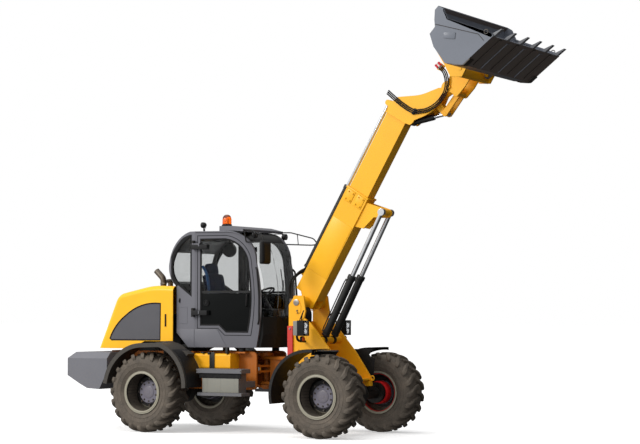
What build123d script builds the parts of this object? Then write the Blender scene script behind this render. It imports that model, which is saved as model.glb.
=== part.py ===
from build123d import *
import math
import os

"""Articulated telescopic wheel loader, parked with the boom raised.

Millimetres. X points forward, Y to the driver's left, Z up, the ground is Z = 0.
Everything is drawn with X = 0 at the articulation pin, and export moves it by
ORIGIN_X so that the origin lies mid-length.
"""

# ---------------------------------------------------------------- driving sizes
ORIGIN_X = 630.0
FIT = 0.05  # radial clearance of a pin or shaft in its bore
SEAT = 0.3  # gap where two pieces sit on each other
RUN = 6.0  # running clearance between moving pieces

WHEELBASE = 2740.0
TRACK = 1627.0
TYRE_RADIUS = 540.0
TYRE_WIDTH = 416.0
CARCASS_RADIUS = 506.0
RIM_RADIUS = 262.0
LUGS_A_SIDE = 20

PLATE = 25.0
REAR_FRAME_HALF = 360.0
FRAME_BOTTOM = 580.0
FRAME_TOP = 1090.0
FRAME_REAR = -2330.0
FRAME_FRONT = 80.0
AXLE_TUBE = 80.0
AXLE_FLANGE_Y = 600.0
HUB_RADIUS = 155.0
SPINDLE = 60.0

PIVOT_PIN = 38.0
EAR_THICK = 40.0
EAR_LOW = 600.0
EAR_HIGH = 1030.0
STEER_Z = 860.0
STEER_BASE = (-700.0, 300.0)
STEER_HORN = (30.0, 250.0)

TOWER_INNER = 300.0
TOWER_REAR = 548.0
BOOM_PIVOT = (670.0, 1750.0)
BOOM_PIN = 45.0
BOOM_ANGLE = 59.5
LIFT_BASE = (960.0, 1250.0)
LIFT_Y = 120.0
LIFT_PIN = 30.0

# the boom's own axes: S along it from its pivot, H square to it towards its upper face
OUTER_TOP = 215.0
OUTER_BELOW = 140.0
OUTER_HALF = 110.0
OUTER_WALL = 12.0
OUTER_END = 1660.0
BOOM_GAP = 8.0
INNER_START = 1300.0
INNER_WALL = 10.0
HEAD_START = 2780.0
TELESCOPE_STROKE = 1050.0
TELESCOPE_H = 272.0
TELESCOPE_BASE_S = 320.0
TELESCOPE_EYE_S = 2883.0
LIFT_EYE = (1610.0, -415.0)
HEAD_PIVOT = (3479.0, -469.0)
LINK_PIN = (3460.0, -599.0)
ROCKER_PIN = (3204.0, -366.0)
ROD_PIN = (3150.0, -558.0)
TILT_BASE = (2822.0, -177.0)
HEAD_HALF = 115.0
HEAD_PLATE = 20.0
HEAD_PIN = 28.0
LINKAGE_PIN = 20.0
ROCKER_INNER = 46.0
ROCKER_THICK = 14.0
LINK_THICK = 16.0
HOSE = 9.0

BUCKET_ANGLE = 37.5
BUCKET_HALF = 1020.0
BUCKET_FLOOR = -270.0
BUCKET_LIP = 1102.0
FLOOR_THICK = 16.0
TOOTH_TIP = 1238.0
COUPLER_HALF = 427.0
COUPLER_PLATE = 22.0
HOOK_BAR = (300.0, 330.0)
HOOK_RADIUS = 34.0
HOOK_Y = 250.0
LOCK_PIN = (352.0, -40.0)
LOCK_RADIUS = 22.0
LOCK_Y = 375.0

CAB_FLOOR = 1145.0
CAB_WALL = 45.0
CAB_TOP = 2715.0
CAB_B = (-770.0, 615.0)
CAB_A = (143.0, 440.0)
CAB_C = (-1105.0, 560.0)
REAR_WALL = -1095.0
CAB_NOSE = (300.0, 220.0)
VISOR_TOP = 2784.0
BEACON = (-370.0, -430.0)
DOOR_GAP = 8.0
DOOR_THICK = 40.0
DOOR_BAR = 42.0
DOOR_HINGE = (-768.0, 645.0)
HINGE_Z = (1617.0, 2530.0)

HOOD_HALF = 620.0
HOOD_WALL = 12.0
HOOD_FRONT = -1125.0
HOOD_TOP = 1975.0
HOOD_HINGE = (-1135.0, 1950.0)
HOOD_HINGE_Y = 400.0
HOOD_PIN = 6.0
EXHAUST = (-1580.0, -200.0, 42.0)
CLEANER = (-1460.0, -200.0, 36.0)

FENDER_OUTER = 1030.0
FENDER_THICK = 10.0
STEP_OUTER = 820.0

AXLE_X = WHEELBASE / 2
WHEEL_Y = TRACK / 2


# ---------------------------------------------------------------- small helpers
def outline(*steps):
    """Closed face. A step is a corner, or (a point on the arc, the arc's end)."""
    edges = []
    here = steps[0]
    for step in steps[1:] + (steps[0],):
        if isinstance(step[0], tuple):
            edges.append(ThreePointArc(here, step[0], step[1]))
            here = step[1]
        elif math.dist(here, step) > 1e-6:
            edges.append(Line(here, step))
            here = step
    return make_face(Curve() + edges)


def across(face, y0, y1):
    """An X-Z face made solid from y0 to y1."""
    return Pos(0, y1, 0) * extrude(Plane.XZ * face, y1 - y0)


def upward(face, z0, z1):
    """An X-Y face made solid from z0 to z1."""
    return Pos(0, 0, z0) * extrude(face, z1 - z0)


def block(x0, x1, y0, y1, z0, z1):
    """Box between three pairs of planes."""
    centre = ((x0 + x1) / 2, (y0 + y1) / 2, (z0 + z1) / 2)
    return Pos(*centre) * Box(x1 - x0, y1 - y0, z1 - z0)


def disc_y(x, z, radius, y0, y1):
    """Round bar along Y."""
    return Pos(x, (y0 + y1) / 2, z) * Rot(90, 0, 0) * Cylinder(radius, y1 - y0)


def disc_z(x, y, radius, z0, z1):
    """Round bar along Z."""
    return Pos(x, y, (z0 + z1) / 2) * Cylinder(radius, z1 - z0)


def bar(start, end, radius):
    """Round bar between two points."""
    a = Vector(*start)
    b = Vector(*end)
    return Plane(a, z_dir=b - a) * Pos(0, 0, (b - a).length / 2) * Cylinder(radius, (b - a).length)


def tube_path(points, radii, radius):
    """Round bar along straight runs joined by arcs."""
    path = FilletPolyline(*points, radius=radii)
    start = Plane(path @ 0, z_dir=path % 0)
    return sweep(start * Circle(radius), path)


def flipped(shape):
    """The same thing on the other side of the machine."""
    return mirror(shape, about=Plane.XZ)


def pair(shape):
    """Right and left copies."""
    return [shape, flipped(shape)]


def solids_of(*shapes):
    """Every solid of the shapes, as one flat list."""
    found = []
    for shape in shapes:
        if isinstance(shape, (list, tuple)):
            found += solids_of(*shape)
        else:
            found += list(shape.solids())
    return found


def boom_xz(point):
    """X and Z of a place in the boom's own axes."""
    turn = math.radians(BOOM_ANGLE)
    s, h = point
    x = BOOM_PIVOT[0] + s * math.cos(turn) - h * math.sin(turn)
    return x, BOOM_PIVOT[1] + s * math.sin(turn) + h * math.cos(turn)


def placed_on(origin_xz, angle):
    """Puts a shape drawn flat in X-Z at a pivot and turns it up by the angle."""
    return Pos(origin_xz[0], 0, origin_xz[1]) * Rot(0, -angle, 0)


def on_boom(shape):
    """Moves a shape from the boom's axes (S as X, H as Z) into place."""
    return placed_on(BOOM_PIVOT, BOOM_ANGLE) * shape


def on_bucket(shape):
    """Moves a shape from the level bucket's axes, with 0 at its pivot, into place."""
    return placed_on(boom_xz(HEAD_PIVOT), BUCKET_ANGLE) * shape


# ---------------------------------------------------------------- wheels
def tyre():
    """Carcass and chevron lugs, its axis on Y, the outside towards +Y."""
    half = TYRE_WIDTH / 2
    bead = half - 40
    section = Polyline(
        (RIM_RADIUS + SEAT, -bead + 16),
        (300, -bead - 2),
        (360, -half + 6),
        (430, -half),
        (482, -half + 16),
        (CARCASS_RADIUS, -half + 62),
        (CARCASS_RADIUS, half - 62),
        (482, half - 16),
        (430, half),
        (360, half - 6),
        (300, bead + 2),
        (RIM_RADIUS + SEAT, bead - 16),
        close=True,
    )
    carcass = revolve(make_face(section), Axis.Y)
    return carcass + lugs()


def lugs():
    """Two rows of slanting bars, the second half a pitch behind the first."""
    half = TYRE_WIDTH / 2
    crown = make_face(Polyline(
        (470, -half), (TYRE_RADIUS - 26, -half), (TYRE_RADIUS, -half + 26), (TYRE_RADIUS, half - 26),
        (TYRE_RADIUS - 26, half), (470, half), close=True))
    ring = revolve(crown, Axis.Y)
    pitch = 360 / LUGS_A_SIDE
    bars = []
    for side, lag in ((1, 0.0), (-1, 0.5)):
        foot = make_face(Polyline(
            (18, -12 * side), (64, -12 * side), (-44, half * side + 1), (-104, half * side + 1), close=True))
        bar_solid = (Pos(0, 0, 455) * extrude(foot, 120)) & ring
        for count in range(LUGS_A_SIDE):
            bars.append(Rot(0, (count + lag) * pitch, 0) * bar_solid)
    return bars


def rim():
    """Deep-dished rim with its disc and the hub drum that it is bolted to."""
    half = TYRE_WIDTH / 2 - 40
    barrel = revolve(make_face(Polyline(
        (RIM_RADIUS - 12, -half), (RIM_RADIUS, -half), (RIM_RADIUS, half - 6), (RIM_RADIUS + 26, half + 4),
        (RIM_RADIUS + 26, half + 14), (RIM_RADIUS - 12, half + 4), close=True)), Axis.Y)
    inner_lip = revolve(make_face(Polyline(
        (RIM_RADIUS - 12, -half), (RIM_RADIUS, -half), (RIM_RADIUS + 26, -half - 4),
        (RIM_RADIUS + 26, -half - 14), (RIM_RADIUS - 12, -half - 4), close=True)), Axis.Y)
    web = revolve(make_face(Polyline(
        (HUB_RADIUS - 20, -32), (200, -32), (RIM_RADIUS - 11, -75), (RIM_RADIUS - 11, -55), (208, -16),
        (HUB_RADIUS - 20, -16), close=True)), Axis.Y)
    drum_back = AXLE_FLANGE_Y + 12 - WHEEL_Y
    drum = revolve(make_face(Polyline(
        (SPINDLE + FIT, drum_back), (HUB_RADIUS - 12, drum_back), (HUB_RADIUS, drum_back + 30), (HUB_RADIUS, 6),
        (HUB_RADIUS - 10, 16), (0, 16), (0, -20), (SPINDLE + FIT, -20), close=True)), Axis.Y)
    return barrel + inner_lip + web + drum


def wheels():
    """The four wheels, each a tyre and a rim."""
    tyre_solid = tyre()
    rim_solid = rim()
    nodes = {}
    for end, x in (("front", AXLE_X), ("rear", -AXLE_X)):
        left = Pos(x, WHEEL_Y, TYRE_RADIUS)
        nodes[f"tyre_{end}_left"] = left * tyre_solid
        nodes[f"rim_{end}_left"] = left * rim_solid
        nodes[f"tyre_{end}_right"] = flipped(left * tyre_solid)
        nodes[f"rim_{end}_right"] = flipped(left * rim_solid)
    return nodes


def axle(x):
    """Rigid axle: differential, tubes, flanges and the spindles in the hub drums."""
    half = revolve(make_face(Polyline(
        (0, 0), (170, 0), (170, 60), (120, 150), (AXLE_TUBE, 230), (AXLE_TUBE, AXLE_FLANGE_Y - 60),
        (140, AXLE_FLANGE_Y - 60), (140, AXLE_FLANGE_Y), (SPINDLE, AXLE_FLANGE_Y),
        (SPINDLE, WHEEL_Y - 40), (0, WHEEL_Y - 40), close=True)), Axis.Y)
    housing = half + flipped(half)
    pads = pair(block(-90, 90, 240, 380, 40, 100))
    return Pos(x, 0, TYRE_RADIUS) * (housing + pads)


# ---------------------------------------------------------------- rear frame
def rear_frame():
    """Two side plates, cross plates, the fork ears and the steering cylinder lugs."""
    pad = TYRE_RADIUS + 100
    side = across(outline(
        (FRAME_REAR, 760), (-1700, pad), (-1100, pad), (-1000, FRAME_BOTTOM), (20, FRAME_BOTTOM),
        ((62, 597), (FRAME_FRONT, 640)), (FRAME_FRONT, FRAME_TOP - 60),
        ((62, FRAME_TOP - 17), (20, FRAME_TOP)), (FRAME_REAR, FRAME_TOP)),
        REAR_FRAME_HALF, REAR_FRAME_HALF + PLATE)
    frame = side + flipped(side)
    half = REAR_FRAME_HALF
    frame += block(FRAME_REAR, FRAME_REAR + PLATE, -half, half, 760, FRAME_TOP)
    frame += block(-1000, -1000 + PLATE, -half, half, FRAME_BOTTOM, 800)
    bulkhead = block(-300, -275, -half, half, EAR_LOW, EAR_HIGH + EAR_THICK)
    for window in pair(block(-310, -265, 190, half - 10, STEER_Z - 85, STEER_Z + 85)):
        bulkhead -= window
    frame += bulkhead
    ear = make_face(Polyline((-290, -230), (-60, -90), (-60, 90), (-290, 230), close=True)) + Circle(95)
    for z in (EAR_LOW, EAR_HIGH):
        frame += upward(ear, z, z + EAR_THICK)
    frame -= disc_z(0, 0, PIVOT_PIN + FIT, EAR_LOW - 10, EAR_HIGH + EAR_THICK + 10)
    x, y = STEER_BASE
    for z in (STEER_Z - 50, STEER_Z + 22 + SEAT):
        lug = block(x - 45, x + 45, y, half + 1, z, z + 28 - SEAT) + disc_z(x, y, 45, z, z + 28 - SEAT)
        frame += pair(lug)
    frame += pair(disc_z(x, y, LINKAGE_PIN, STEER_Z - 50, STEER_Z + 50))
    shelf = block(-80, 80, half + PLATE - 1, 480, FRAME_TOP - 20, FRAME_TOP)
    for x in (-950, -120):
        frame += pair(Pos(x, 0, 0) * shelf)
    return frame


def articulation_pin():
    """Pin through the fork's and the front frame's ears, with its two heads."""
    pin = disc_z(0, 0, PIVOT_PIN, EAR_LOW - 1, EAR_HIGH + EAR_THICK + 1)
    pin += disc_z(0, 0, 60, EAR_LOW - 20, EAR_LOW - SEAT)
    pin += disc_z(0, 0, 60, EAR_HIGH + EAR_THICK + SEAT, EAR_HIGH + EAR_THICK + 20)
    return pin


def counterweight():
    """Cast weight round the frame's tail, its upper edges bevelled, with a towing jaw."""
    body = across(outline(
        (-2731, 747), (-2731, 1070), (-2050, 1070), (-2050, 800), (-2181, 563), (-2389, 573), (-2529, 639)),
        -870, 870)
    rim_edges = body.edges().filter_by(GeomType.LINE).group_by(Axis.Z)[-1]
    top = [e for e in rim_edges if e.center().X < -2040 - 1 and abs(e.center().X + 2050) > 5]
    body = chamfer(top, 85)
    body -= block(FRAME_REAR - SEAT, -2000, -REAR_FRAME_HALF - PLATE - SEAT, REAR_FRAME_HALF + PLATE + SEAT, 500, 1200)
    body -= block(-2800, -2600, -90, 90, 800, 900)
    return body - disc_z(-2680, 0, 20, 700, 1100)


def engine():
    """The engine as one plain block on its feet between the frame plates."""
    body = block(-2080, -1200, -330, 330, 800, 1600)
    feet = block(-1900, -1400, -REAR_FRAME_HALF + SEAT, REAR_FRAME_HALF - SEAT, 900, 960)
    return body + feet


def side_tanks():
    """Fuel tank on the right and oil tank on the left, on the frame plates."""
    inner = REAR_FRAME_HALF + PLATE + SEAT
    tank = block(-780, -200, inner, 600, 860, FRAME_TOP - 25)
    return pair(fillet(tank.edges().filter_by(Axis.X), 30))


def steps():
    """Boarding steps on both sides: two treads, a box between them and two hangers."""
    inner = REAR_FRAME_HALF + PLATE + SEAT
    upper = block(-600, 120, 600, STEP_OUTER, 810, 865)
    lower = block(-580, 120, 610, STEP_OUTER, 510, 550)
    box = block(-520, 60, 610, STEP_OUTER - 30, 550, 810)
    hangers = block(-560, -500, inner, 620, 620, 700) + block(0, 60, inner, 620, 620, 700)
    return pair(upper + lower + box + hangers)


def toward(point, centre, amount):
    """The point moved towards the centre."""
    span = math.dist(point, centre)
    return tuple(p + (c - p) * amount / span for p, c in zip(point, centre))


def fender_sheet(curve, centre, depth, y0, y1):
    """Bent sheet that follows a curve of arcs, as deep as asked towards the wheel."""
    outer = list(curve)
    inner = []
    ends = [outer[0]] + [s[1] if isinstance(s[0], tuple) else s for s in outer[1:]]
    for index in range(len(outer) - 1, 0, -1):
        target = toward(ends[index - 1], centre, depth)
        if isinstance(outer[index][0], tuple):
            inner.append((toward(outer[index][0], centre, depth), target))
        else:
            inner.append(target)
    start = toward(ends[-1], centre, depth)
    return across(outline(*outer, start, *inner), y0, y1)


def rear_fenders():
    """Arched mudguards with a deep outer lip and a skirt to the frame."""
    centre = (-AXLE_X, TYRE_RADIUS)
    curve = [(-1993, 655), ((-1760, 1060), (-1374, 1205)), (-1044, 1208), ((-757, 1000), (-635, 615))]
    sheet = fender_sheet(curve, centre, FENDER_THICK, HOOD_HALF + 10, FENDER_OUTER)
    lip = fender_sheet(curve, centre, 60, FENDER_OUTER - 14, FENDER_OUTER)
    inner = REAR_FRAME_HALF + PLATE + SEAT
    brace = block(-1400, -1340, inner, 450, 1000, 1120) + block(-1400, -1340, 440, 642, 1100, 1120)
    brace += block(-1400, -1340, 630, 642, 1110, 1199)
    brace += block(-1978, -1945, inner, 640, 745, 785)
    plate = across(outline((-1330, 1204), (-1109, 1231), (-747, 1060), (-800, 1000), (-1044, 1198)), 640, 800)
    return pair(sheet + lip + plate + brace)


# ---------------------------------------------------------------- hood
def hood_face(inset, bottom, foot):
    """The hood's side outline, its back and roof drawn in by the inset, then its lower corners."""
    i = inset
    corners = [
        (-2396 + i * 1.1 - (1122 - bottom) * 0.44, bottom), (-2068 + i, 1868 - i), (-1480, 1990 - i),
        (foot[0][0], HOOD_TOP - i)] + foot
    radii = [0, 190 - i, 1200 - i, 0] + [0] * len(foot)
    return make_face(FilletPolyline(*corners, radius=radii, close=True))


def rounded_sides(solid, half, radius):
    """Rounds the two long upper edges at +-half."""
    ridge = [e for e in solid.edges() if abs(abs(e.center().Y) - half) < 1
             and e.center().Z > 1300 and e.length > 100 and abs(e.tangent_at(0.5).X) > 0.05]
    return fillet(ridge, radius)


def hood():
    """Engine hood: one shell open below and in front, hinged along its top front edge."""
    foot = [(HOOD_FRONT, 1225), (-1600, 1225), (-1800, 1122)]
    outer = across(hood_face(0, 1122, foot), -HOOD_HALF, HOOD_HALF)
    half = HOOD_HALF - HOOD_WALL
    inner = across(hood_face(HOOD_WALL, 1050, [(HOOD_FRONT + 20, 1050)]), -half, half)
    shell = rounded_sides(outer, HOOD_HALF, 70) - rounded_sides(inner, half, 58)
    for opening in pair(across(grille_outline(0), HOOD_HALF - 40, HOOD_HALF + 10)):
        shell -= opening
    for x, radius in ((EXHAUST[0], EXHAUST[2]), (CLEANER[0], CLEANER[2])):
        shell -= disc_z(x, EXHAUST[1], radius + SEAT, 1900, 2100)
    x, z = HOOD_HINGE
    y = HOOD_HINGE_Y
    for y0, y1 in ((y - 20, y - 2), (y + 32, y + 50)):
        shell += pair(disc_y(x, z, 2 * HOOD_PIN, y0, y1) + block(x - 12, x + 8, y0, y1, z, HOOD_TOP - HOOD_WALL + 1))
    for bore in pair(disc_y(x, z, HOOD_PIN + FIT, y - 30, y + 60)):
        shell -= bore
    for pocket in pair(block(-1262, -1228, HOOD_HALF - 6, HOOD_HALF + 10, 1420, 1600)):
        shell -= pocket
    return shell


def hood_hinges():
    """Knuckles and pins on the cab's rear wall for the hood."""
    x, z = HOOD_HINGE
    y = HOOD_HINGE_Y
    knuckle = disc_y(x, z, 2 * HOOD_PIN, y, y + 30) + block(x, REAR_WALL - SEAT, y, y + 30, z - 12, z - 2)
    return pair(knuckle + disc_y(x, z, HOOD_PIN, y - 20, y + 50))


def grille_outline(inset):
    """The side grille's outline, drawn in by the inset."""
    return outline(
        (-2188 + inset, 1262 + inset), (-2160 + inset, 1238 + inset), (-1337 - inset, 1241 + inset),
        (-1331 - inset, 1740 - inset), ((-1677 + inset / 2, 1706 - inset), (-1932 + inset, 1568 - inset)),
        ((-2085 + inset, 1430 - inset / 2), (-2188 + inset, 1262 + inset)))


def hood_grilles():
    """Mesh panels, one in each side of the hood."""
    return pair(across(grille_outline(SEAT), HOOD_HALF - HOOD_WALL, HOOD_HALF - 4))


def exhaust():
    """Curved stack and the intake's pre-cleaner, both carried by the hood."""
    x, y, radius = EXHAUST
    path = FilletPolyline((x, y, 1940), (x, y, 2090), (x - 120, y, 2200), radius=90)
    outside = sweep(Plane(path @ 0, z_dir=path % 0) * Circle(radius), path)
    bore = Plane(path @ 1, z_dir=path % 1) * Pos(0, 0, -15) * Cylinder(radius - 6, 60)
    x, y, radius = CLEANER
    cleaner = disc_z(x, y, radius, 1940, 2031) + disc_z(x, y, 60, 2030, 2075)
    return [outside - bore, cleaner]


# ---------------------------------------------------------------- cab
def side_plane(start, end):
    """Upright plane through two plan points on the right side, facing outwards."""
    along = Vector(end[0] - start[0], -(end[1] - start[1]), 0)
    return Plane((start[0], -start[1], 0), x_dir=along, z_dir=along.cross(Vector(0, 0, 1)))


SIDE_SLOPE = math.hypot(CAB_A[0] - CAB_B[0], CAB_A[1] - CAB_B[1]) / (CAB_A[0] - CAB_B[0])


def sloped(steps, start=CAB_B[0], slope=SIDE_SLOPE):
    """Turns X-Z steps into the steps of a wall's own plane."""
    made = []
    for step in steps:
        if isinstance(step[0], tuple):
            made.append(tuple(((x - start) * slope, z) for x, z in step))
        else:
            made.append(((step[0] - start) * slope, step[1]))
    return made


def wall(plane, steps, thick, out=0.0):
    """A plate in a wall's plane, its outer face moved out by the amount given."""
    return plane.offset(out) * extrude(outline(*steps), -thick)


def door_steps(inset):
    """The door's outline in X-Z, drawn in by the inset."""
    i = inset
    return [
        (-724 + i, 1407 + i), (-430 + i * 0.4, 1407 + i), (-334 + i * 0.4, 1315 + i), (32 - i, 1312 + i),
        ((79 - i, 1760), (45 - i, 2224)), ((-50 - i * 0.8, 2500 - i * 0.6), (-330, 2650 - i)), (-724 + i, 2650 - i)]


def quarter_steps(inset):
    """The rear quarter window's outline in X-Z, drawn in by the inset."""
    i = inset
    return [
        (-835 - i, 1850 + i), (-835 - i, 2655 - i), ((-1075 + i, 2500 - i), (-1190 + i, 2300)),
        ((-1183 + i, 2160), (-1118 + i, 2048)), (-1072 + i, 1998 + i / 2)]


def cab_side():
    """Right wall of the cab: door surround, B-pillar, rear quarter and sill."""
    side = side_plane(CAB_B, CAB_A)
    front = wall(side, sloped([
        CAB_B[:1] + (CAB_FLOOR,), (112, CAB_FLOOR), (143, 1318), ((172, 1780), (110, 2270)),
        ((15, 2570), (-320, CAB_TOP)), CAB_B[:1] + (CAB_TOP,)]), CAB_WALL)
    front -= wall(side, sloped(door_steps(-DOOR_GAP)), CAB_WALL + 20, 10)
    rear = side_plane(CAB_C, CAB_B)
    slope = math.hypot(CAB_C[0] - CAB_B[0], CAB_C[1] - CAB_B[1]) / (CAB_B[0] - CAB_C[0])
    quarter = wall(rear, sloped([
        (-886, CAB_FLOOR), (CAB_B[0], CAB_FLOOR), (CAB_B[0], CAB_TOP), (-850, CAB_TOP),
        ((-1110, 2570), (-1240, 2308)), ((-1235, 2140), (-1150, 2005)), (-1105, 1988), (-1105, 1345)],
        CAB_C[0], slope), CAB_WALL)
    quarter -= wall(rear, sloped(quarter_steps(0), CAB_C[0], slope), CAB_WALL + 20, 10)
    return front + quarter


def cab_frame():
    """The cab's two walls, its rear wall and cross members, welded into one."""
    right = cab_side()
    frame = right + flipped(right)
    half = CAB_C[1] - 12
    arch = outline(
        (REAR_WALL, CAB_FLOOR + 200), (REAR_WALL, 1996), (-1143, 2013), ((-1225, 2144), (-1230, 2308)),
        ((-1102, 2564), (-850, CAB_TOP - 10)), (-850, CAB_TOP - 40), ((-1083, 2535), (-1200, 2300)),
        ((-1196, 2155), (-1130, 2040)), (-1080, 2010), (-1080, CAB_FLOOR + 200))
    rear = across(arch, -half, half)
    rear -= block(-1300, -1000, -half + 60, half - 60, 2040, 2440)
    return frame + rear


NOSE_STEP = (CAB_NOSE[0] - CAB_A[0], CAB_A[1] - CAB_NOSE[1])
NOSE_BACK = 72.0
SCREEN_FOOT = 1556.0
ROOF_LOW = CAB_TOP - 45.0


def nose_plan(y):
    """How far the nose panels run ahead of the A-pillars at a distance from the middle."""
    return NOSE_STEP[0] * (CAB_A[1] - max(y, CAB_NOSE[1])) / NOSE_STEP[1]


def cab_floor():
    """Floor tub and its rubber mounts on the frame shelves."""
    inner = CAB_A[1] - CAB_WALL - 4
    front = NOSE_BACK - 2
    plan = make_face(Polyline(
        (-1075, -500), (CAB_B[0], -CAB_B[1] + 48), (front + nose_plan(inner), -inner),
        (front + NOSE_STEP[0], -CAB_NOSE[1]), (front + NOSE_STEP[0], CAB_NOSE[1]),
        (front + nose_plan(inner), inner), (CAB_B[0], CAB_B[1] - 48), (-1075, 500), close=True))
    floor = upward(plan, CAB_FLOOR, CAB_FLOOR + 40)
    mounts = []
    for x in (-950, -120):
        mounts += pair(disc_z(x, 430, 45, FRAME_TOP + SEAT, CAB_FLOOR - SEAT))
    return floor, mounts


def nose_panes(face):
    """A thin X-Z face run from one side wall round the nose to the other."""
    dx, dy = NOSE_STEP
    reach = math.hypot(dx, dy)
    spare = 250.0
    start = Pos(-dx * spare / reach, -CAB_A[1] - dy * spare / reach, 0)
    right = start * extrude(Plane.XZ * face, reach + spare, dir=(dx, dy, 0))
    right -= wall(side_plane(CAB_B, CAB_A), [(-300, 1000), (1400, 1000), (1400, 2900), (-300, 2900)],
                  400 + CAB_WALL + SEAT, 400)
    middle = Pos(dx, 0, 0) * across(face, -CAB_NOSE[1], CAB_NOSE[1])
    return right + middle + flipped(right)


def cab_nose():
    """Black lower front panel of the cab and the brow above the windscreen."""
    back = NOSE_BACK
    panel = outline(
        (112, CAB_FLOOR), (143, 1318), (147, SCREEN_FOOT), (back + 35, SCREEN_FOOT), (back + 31, 1318),
        (back, CAB_FLOOR))
    brow = outline(
        (-24, 2562), ((-120, 2645), (-290, 2700)), (-290, ROOF_LOW + 2), ((-140, 2615), (-58, 2562)))
    return [nose_panes(panel), nose_panes(brow)]


def cab_glass():
    """Windscreen, rear quarter panes and rear pane."""
    screen = outline(
        (140, SCREEN_FOOT + SEAT), ((163, 1790), (100, 2270)), ((60, 2430), (-24, 2562 - SEAT)), (-34, 2562 - SEAT),
        ((50, 2428), (92, 2268)), ((155, 1789), (132, SCREEN_FOOT + SEAT)))
    rear = side_plane(CAB_C, CAB_B)
    slope = math.hypot(CAB_C[0] - CAB_B[0], CAB_C[1] - CAB_B[1]) / (CAB_B[0] - CAB_C[0])
    quarter = wall(rear, sloped(quarter_steps(0.5), CAB_C[0], slope), 8, -10)
    band = outline(
        (-1142, 2022), ((-1220, 2146), (-1225, 2308)), ((-1098, 2558), (-856, 2694)), (-860, 2686),
        ((-1092, 2552), (-1217, 2308)), ((-1212, 2149), (-1138, 2030)))
    half = CAB_C[1] - 12 - 60 - SEAT
    pane = across(band, -half, half) & block(-1300, -1000, -half, half, 2040 + SEAT, 2440 - SEAT)
    return [nose_panes(screen)] + pair(quarter) + [pane]


def cab_roof():
    """Roof panel with the visor box over the windscreen."""
    plan = make_face(Polyline(
        (-850 + SEAT, -540), (CAB_B[0], -560), (-440, -500), (-440, 500), (CAB_B[0], 560), (-850 + SEAT, 540), close=True))
    roof = upward(plan, ROOF_LOW, CAB_TOP)
    roof += block(-441, -300, -455, 455, ROOF_LOW + 30, CAB_TOP + 10)
    visor = across(outline(
        (-440, CAB_TOP + 2), (-440, VISOR_TOP), (-250, VISOR_TOP), (-60, 2738), (-60, CAB_TOP - 12),
        (-200, CAB_TOP + 2)), -510, 510)
    return roof + visor


def roof_lights():
    """Two work lamps under the visor, a round rear lamp and the amber beacon."""
    low = CAB_TOP - 12 - SEAT
    lamp = block(5, 75, 345, 425, 2612, low - 2) + block(-120, 10, 365, 405, low - 12, low)
    stem = disc_z(-835, -300, 12, CAB_TOP + SEAT, 2790) + disc_z(-835, -300, 45, 2790, 2850)
    x, y = BEACON
    base = VISOR_TOP + SEAT
    beacon = disc_z(x, y, 70, base, base + 25) + disc_z(x, y, 62, base + 25, base + 95)
    beacon += Pos(x, y, base + 95) * Sphere(62)
    return pair(lamp) + [stem, beacon]


def mirrors():
    """Mirror heads hung ahead of the cab on bent arms."""
    foot = (-60 + SEAT, -480, 2718)
    points = [foot, (60, -480, 2718), (330, -690, 2650), (400, -700, 2600), (400, -700, 2440)]
    arm = tube_path(points, [60, 60, 40], 12)
    shell = block(385, 415, -800, -600, 2180, 2460)
    return pair(arm + fillet(shell.edges().filter_by(Axis.X), 30))


def cab_interior():
    """Seat pedestal, console, steering column and wheel."""
    pedestal = block(-820, -420, -230, 230, CAB_FLOOR + 40, 1480)
    console = block(0, 200, -150, 150, CAB_FLOOR + 40, 1650)
    column = bar((80, 0, 1640), (-60, 0, 1860), 30)
    hub = Vector(-60, 0, 1860)
    wheel = Plane(hub, z_dir=(-0.537, 0, 0.844)) * Torus(175, 14)
    spoke = Plane(hub, z_dir=(-0.537, 0, 0.844)) * Box(30, 350, 12)
    return [pedestal, console + column + wheel + spoke]


def seat_cushion():
    """Driver's seat: cushion and backrest."""
    base = block(-800, -320, -240, 240, 1480 + SEAT, 1600)
    back = across(outline((-820, 1600), (-700, 1600), (-850, 2260), (-940, 2260)), -240, 240)
    return base + back


def door():
    """Right door leaf with its hinge arms, closed."""
    side = side_plane(CAB_B, CAB_A)
    leaf = wall(side, sloped(door_steps(0)), DOOR_THICK)
    leaf -= wall(side, sloped(door_steps(DOOR_BAR)), DOOR_THICK + 20, 10)
    rail = wall(side, sloped([(-700, 1880), (30, 1880), (30, 1910), (-700, 1910)]), DOOR_THICK - 10, -5)
    leaf += rail
    x, y = DOOR_HINGE
    for z in HINGE_Z:
        arm = block(x, -670, -y - 12, -CAB_B[1] - RUN, z - 20, z + 20) + disc_z(x, -y, 18, z - 20, z + 20)
        arm += block(-722, -670, -y - 12, -598, z - 20, z + 20)
        leaf += arm
    for z in HINGE_Z:
        leaf -= disc_z(x, -y, 8 + FIT, z - 30, z + 30)
    return leaf


def door_glass():
    """The door's two panes."""
    side = side_plane(CAB_B, CAB_A)
    pane = wall(side, sloped(door_steps(DOOR_BAR + 0.5)), 8, -12)
    gap = wall(side, sloped([(-720, 1879.5), (60, 1879.5), (60, 1910.5), (-720, 1910.5)]), 60, 10)
    return pane - gap


def door_hinges():
    """Knuckles and pins on the cab, above and below each hinge arm."""
    x, y = DOOR_HINGE
    made = []
    for z in HINGE_Z:
        knuckle = disc_z(x, -y, 8, z - 60, z + 60)
        for low, high in ((z - 60, z - 25), (z + 25, z + 60)):
            knuckle += disc_z(x, -y, 18, low, high) + block(x - 30, x, -y - 12, -CAB_B[1] - SEAT, low, high)
        made += pair(knuckle)
    return made


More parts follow.
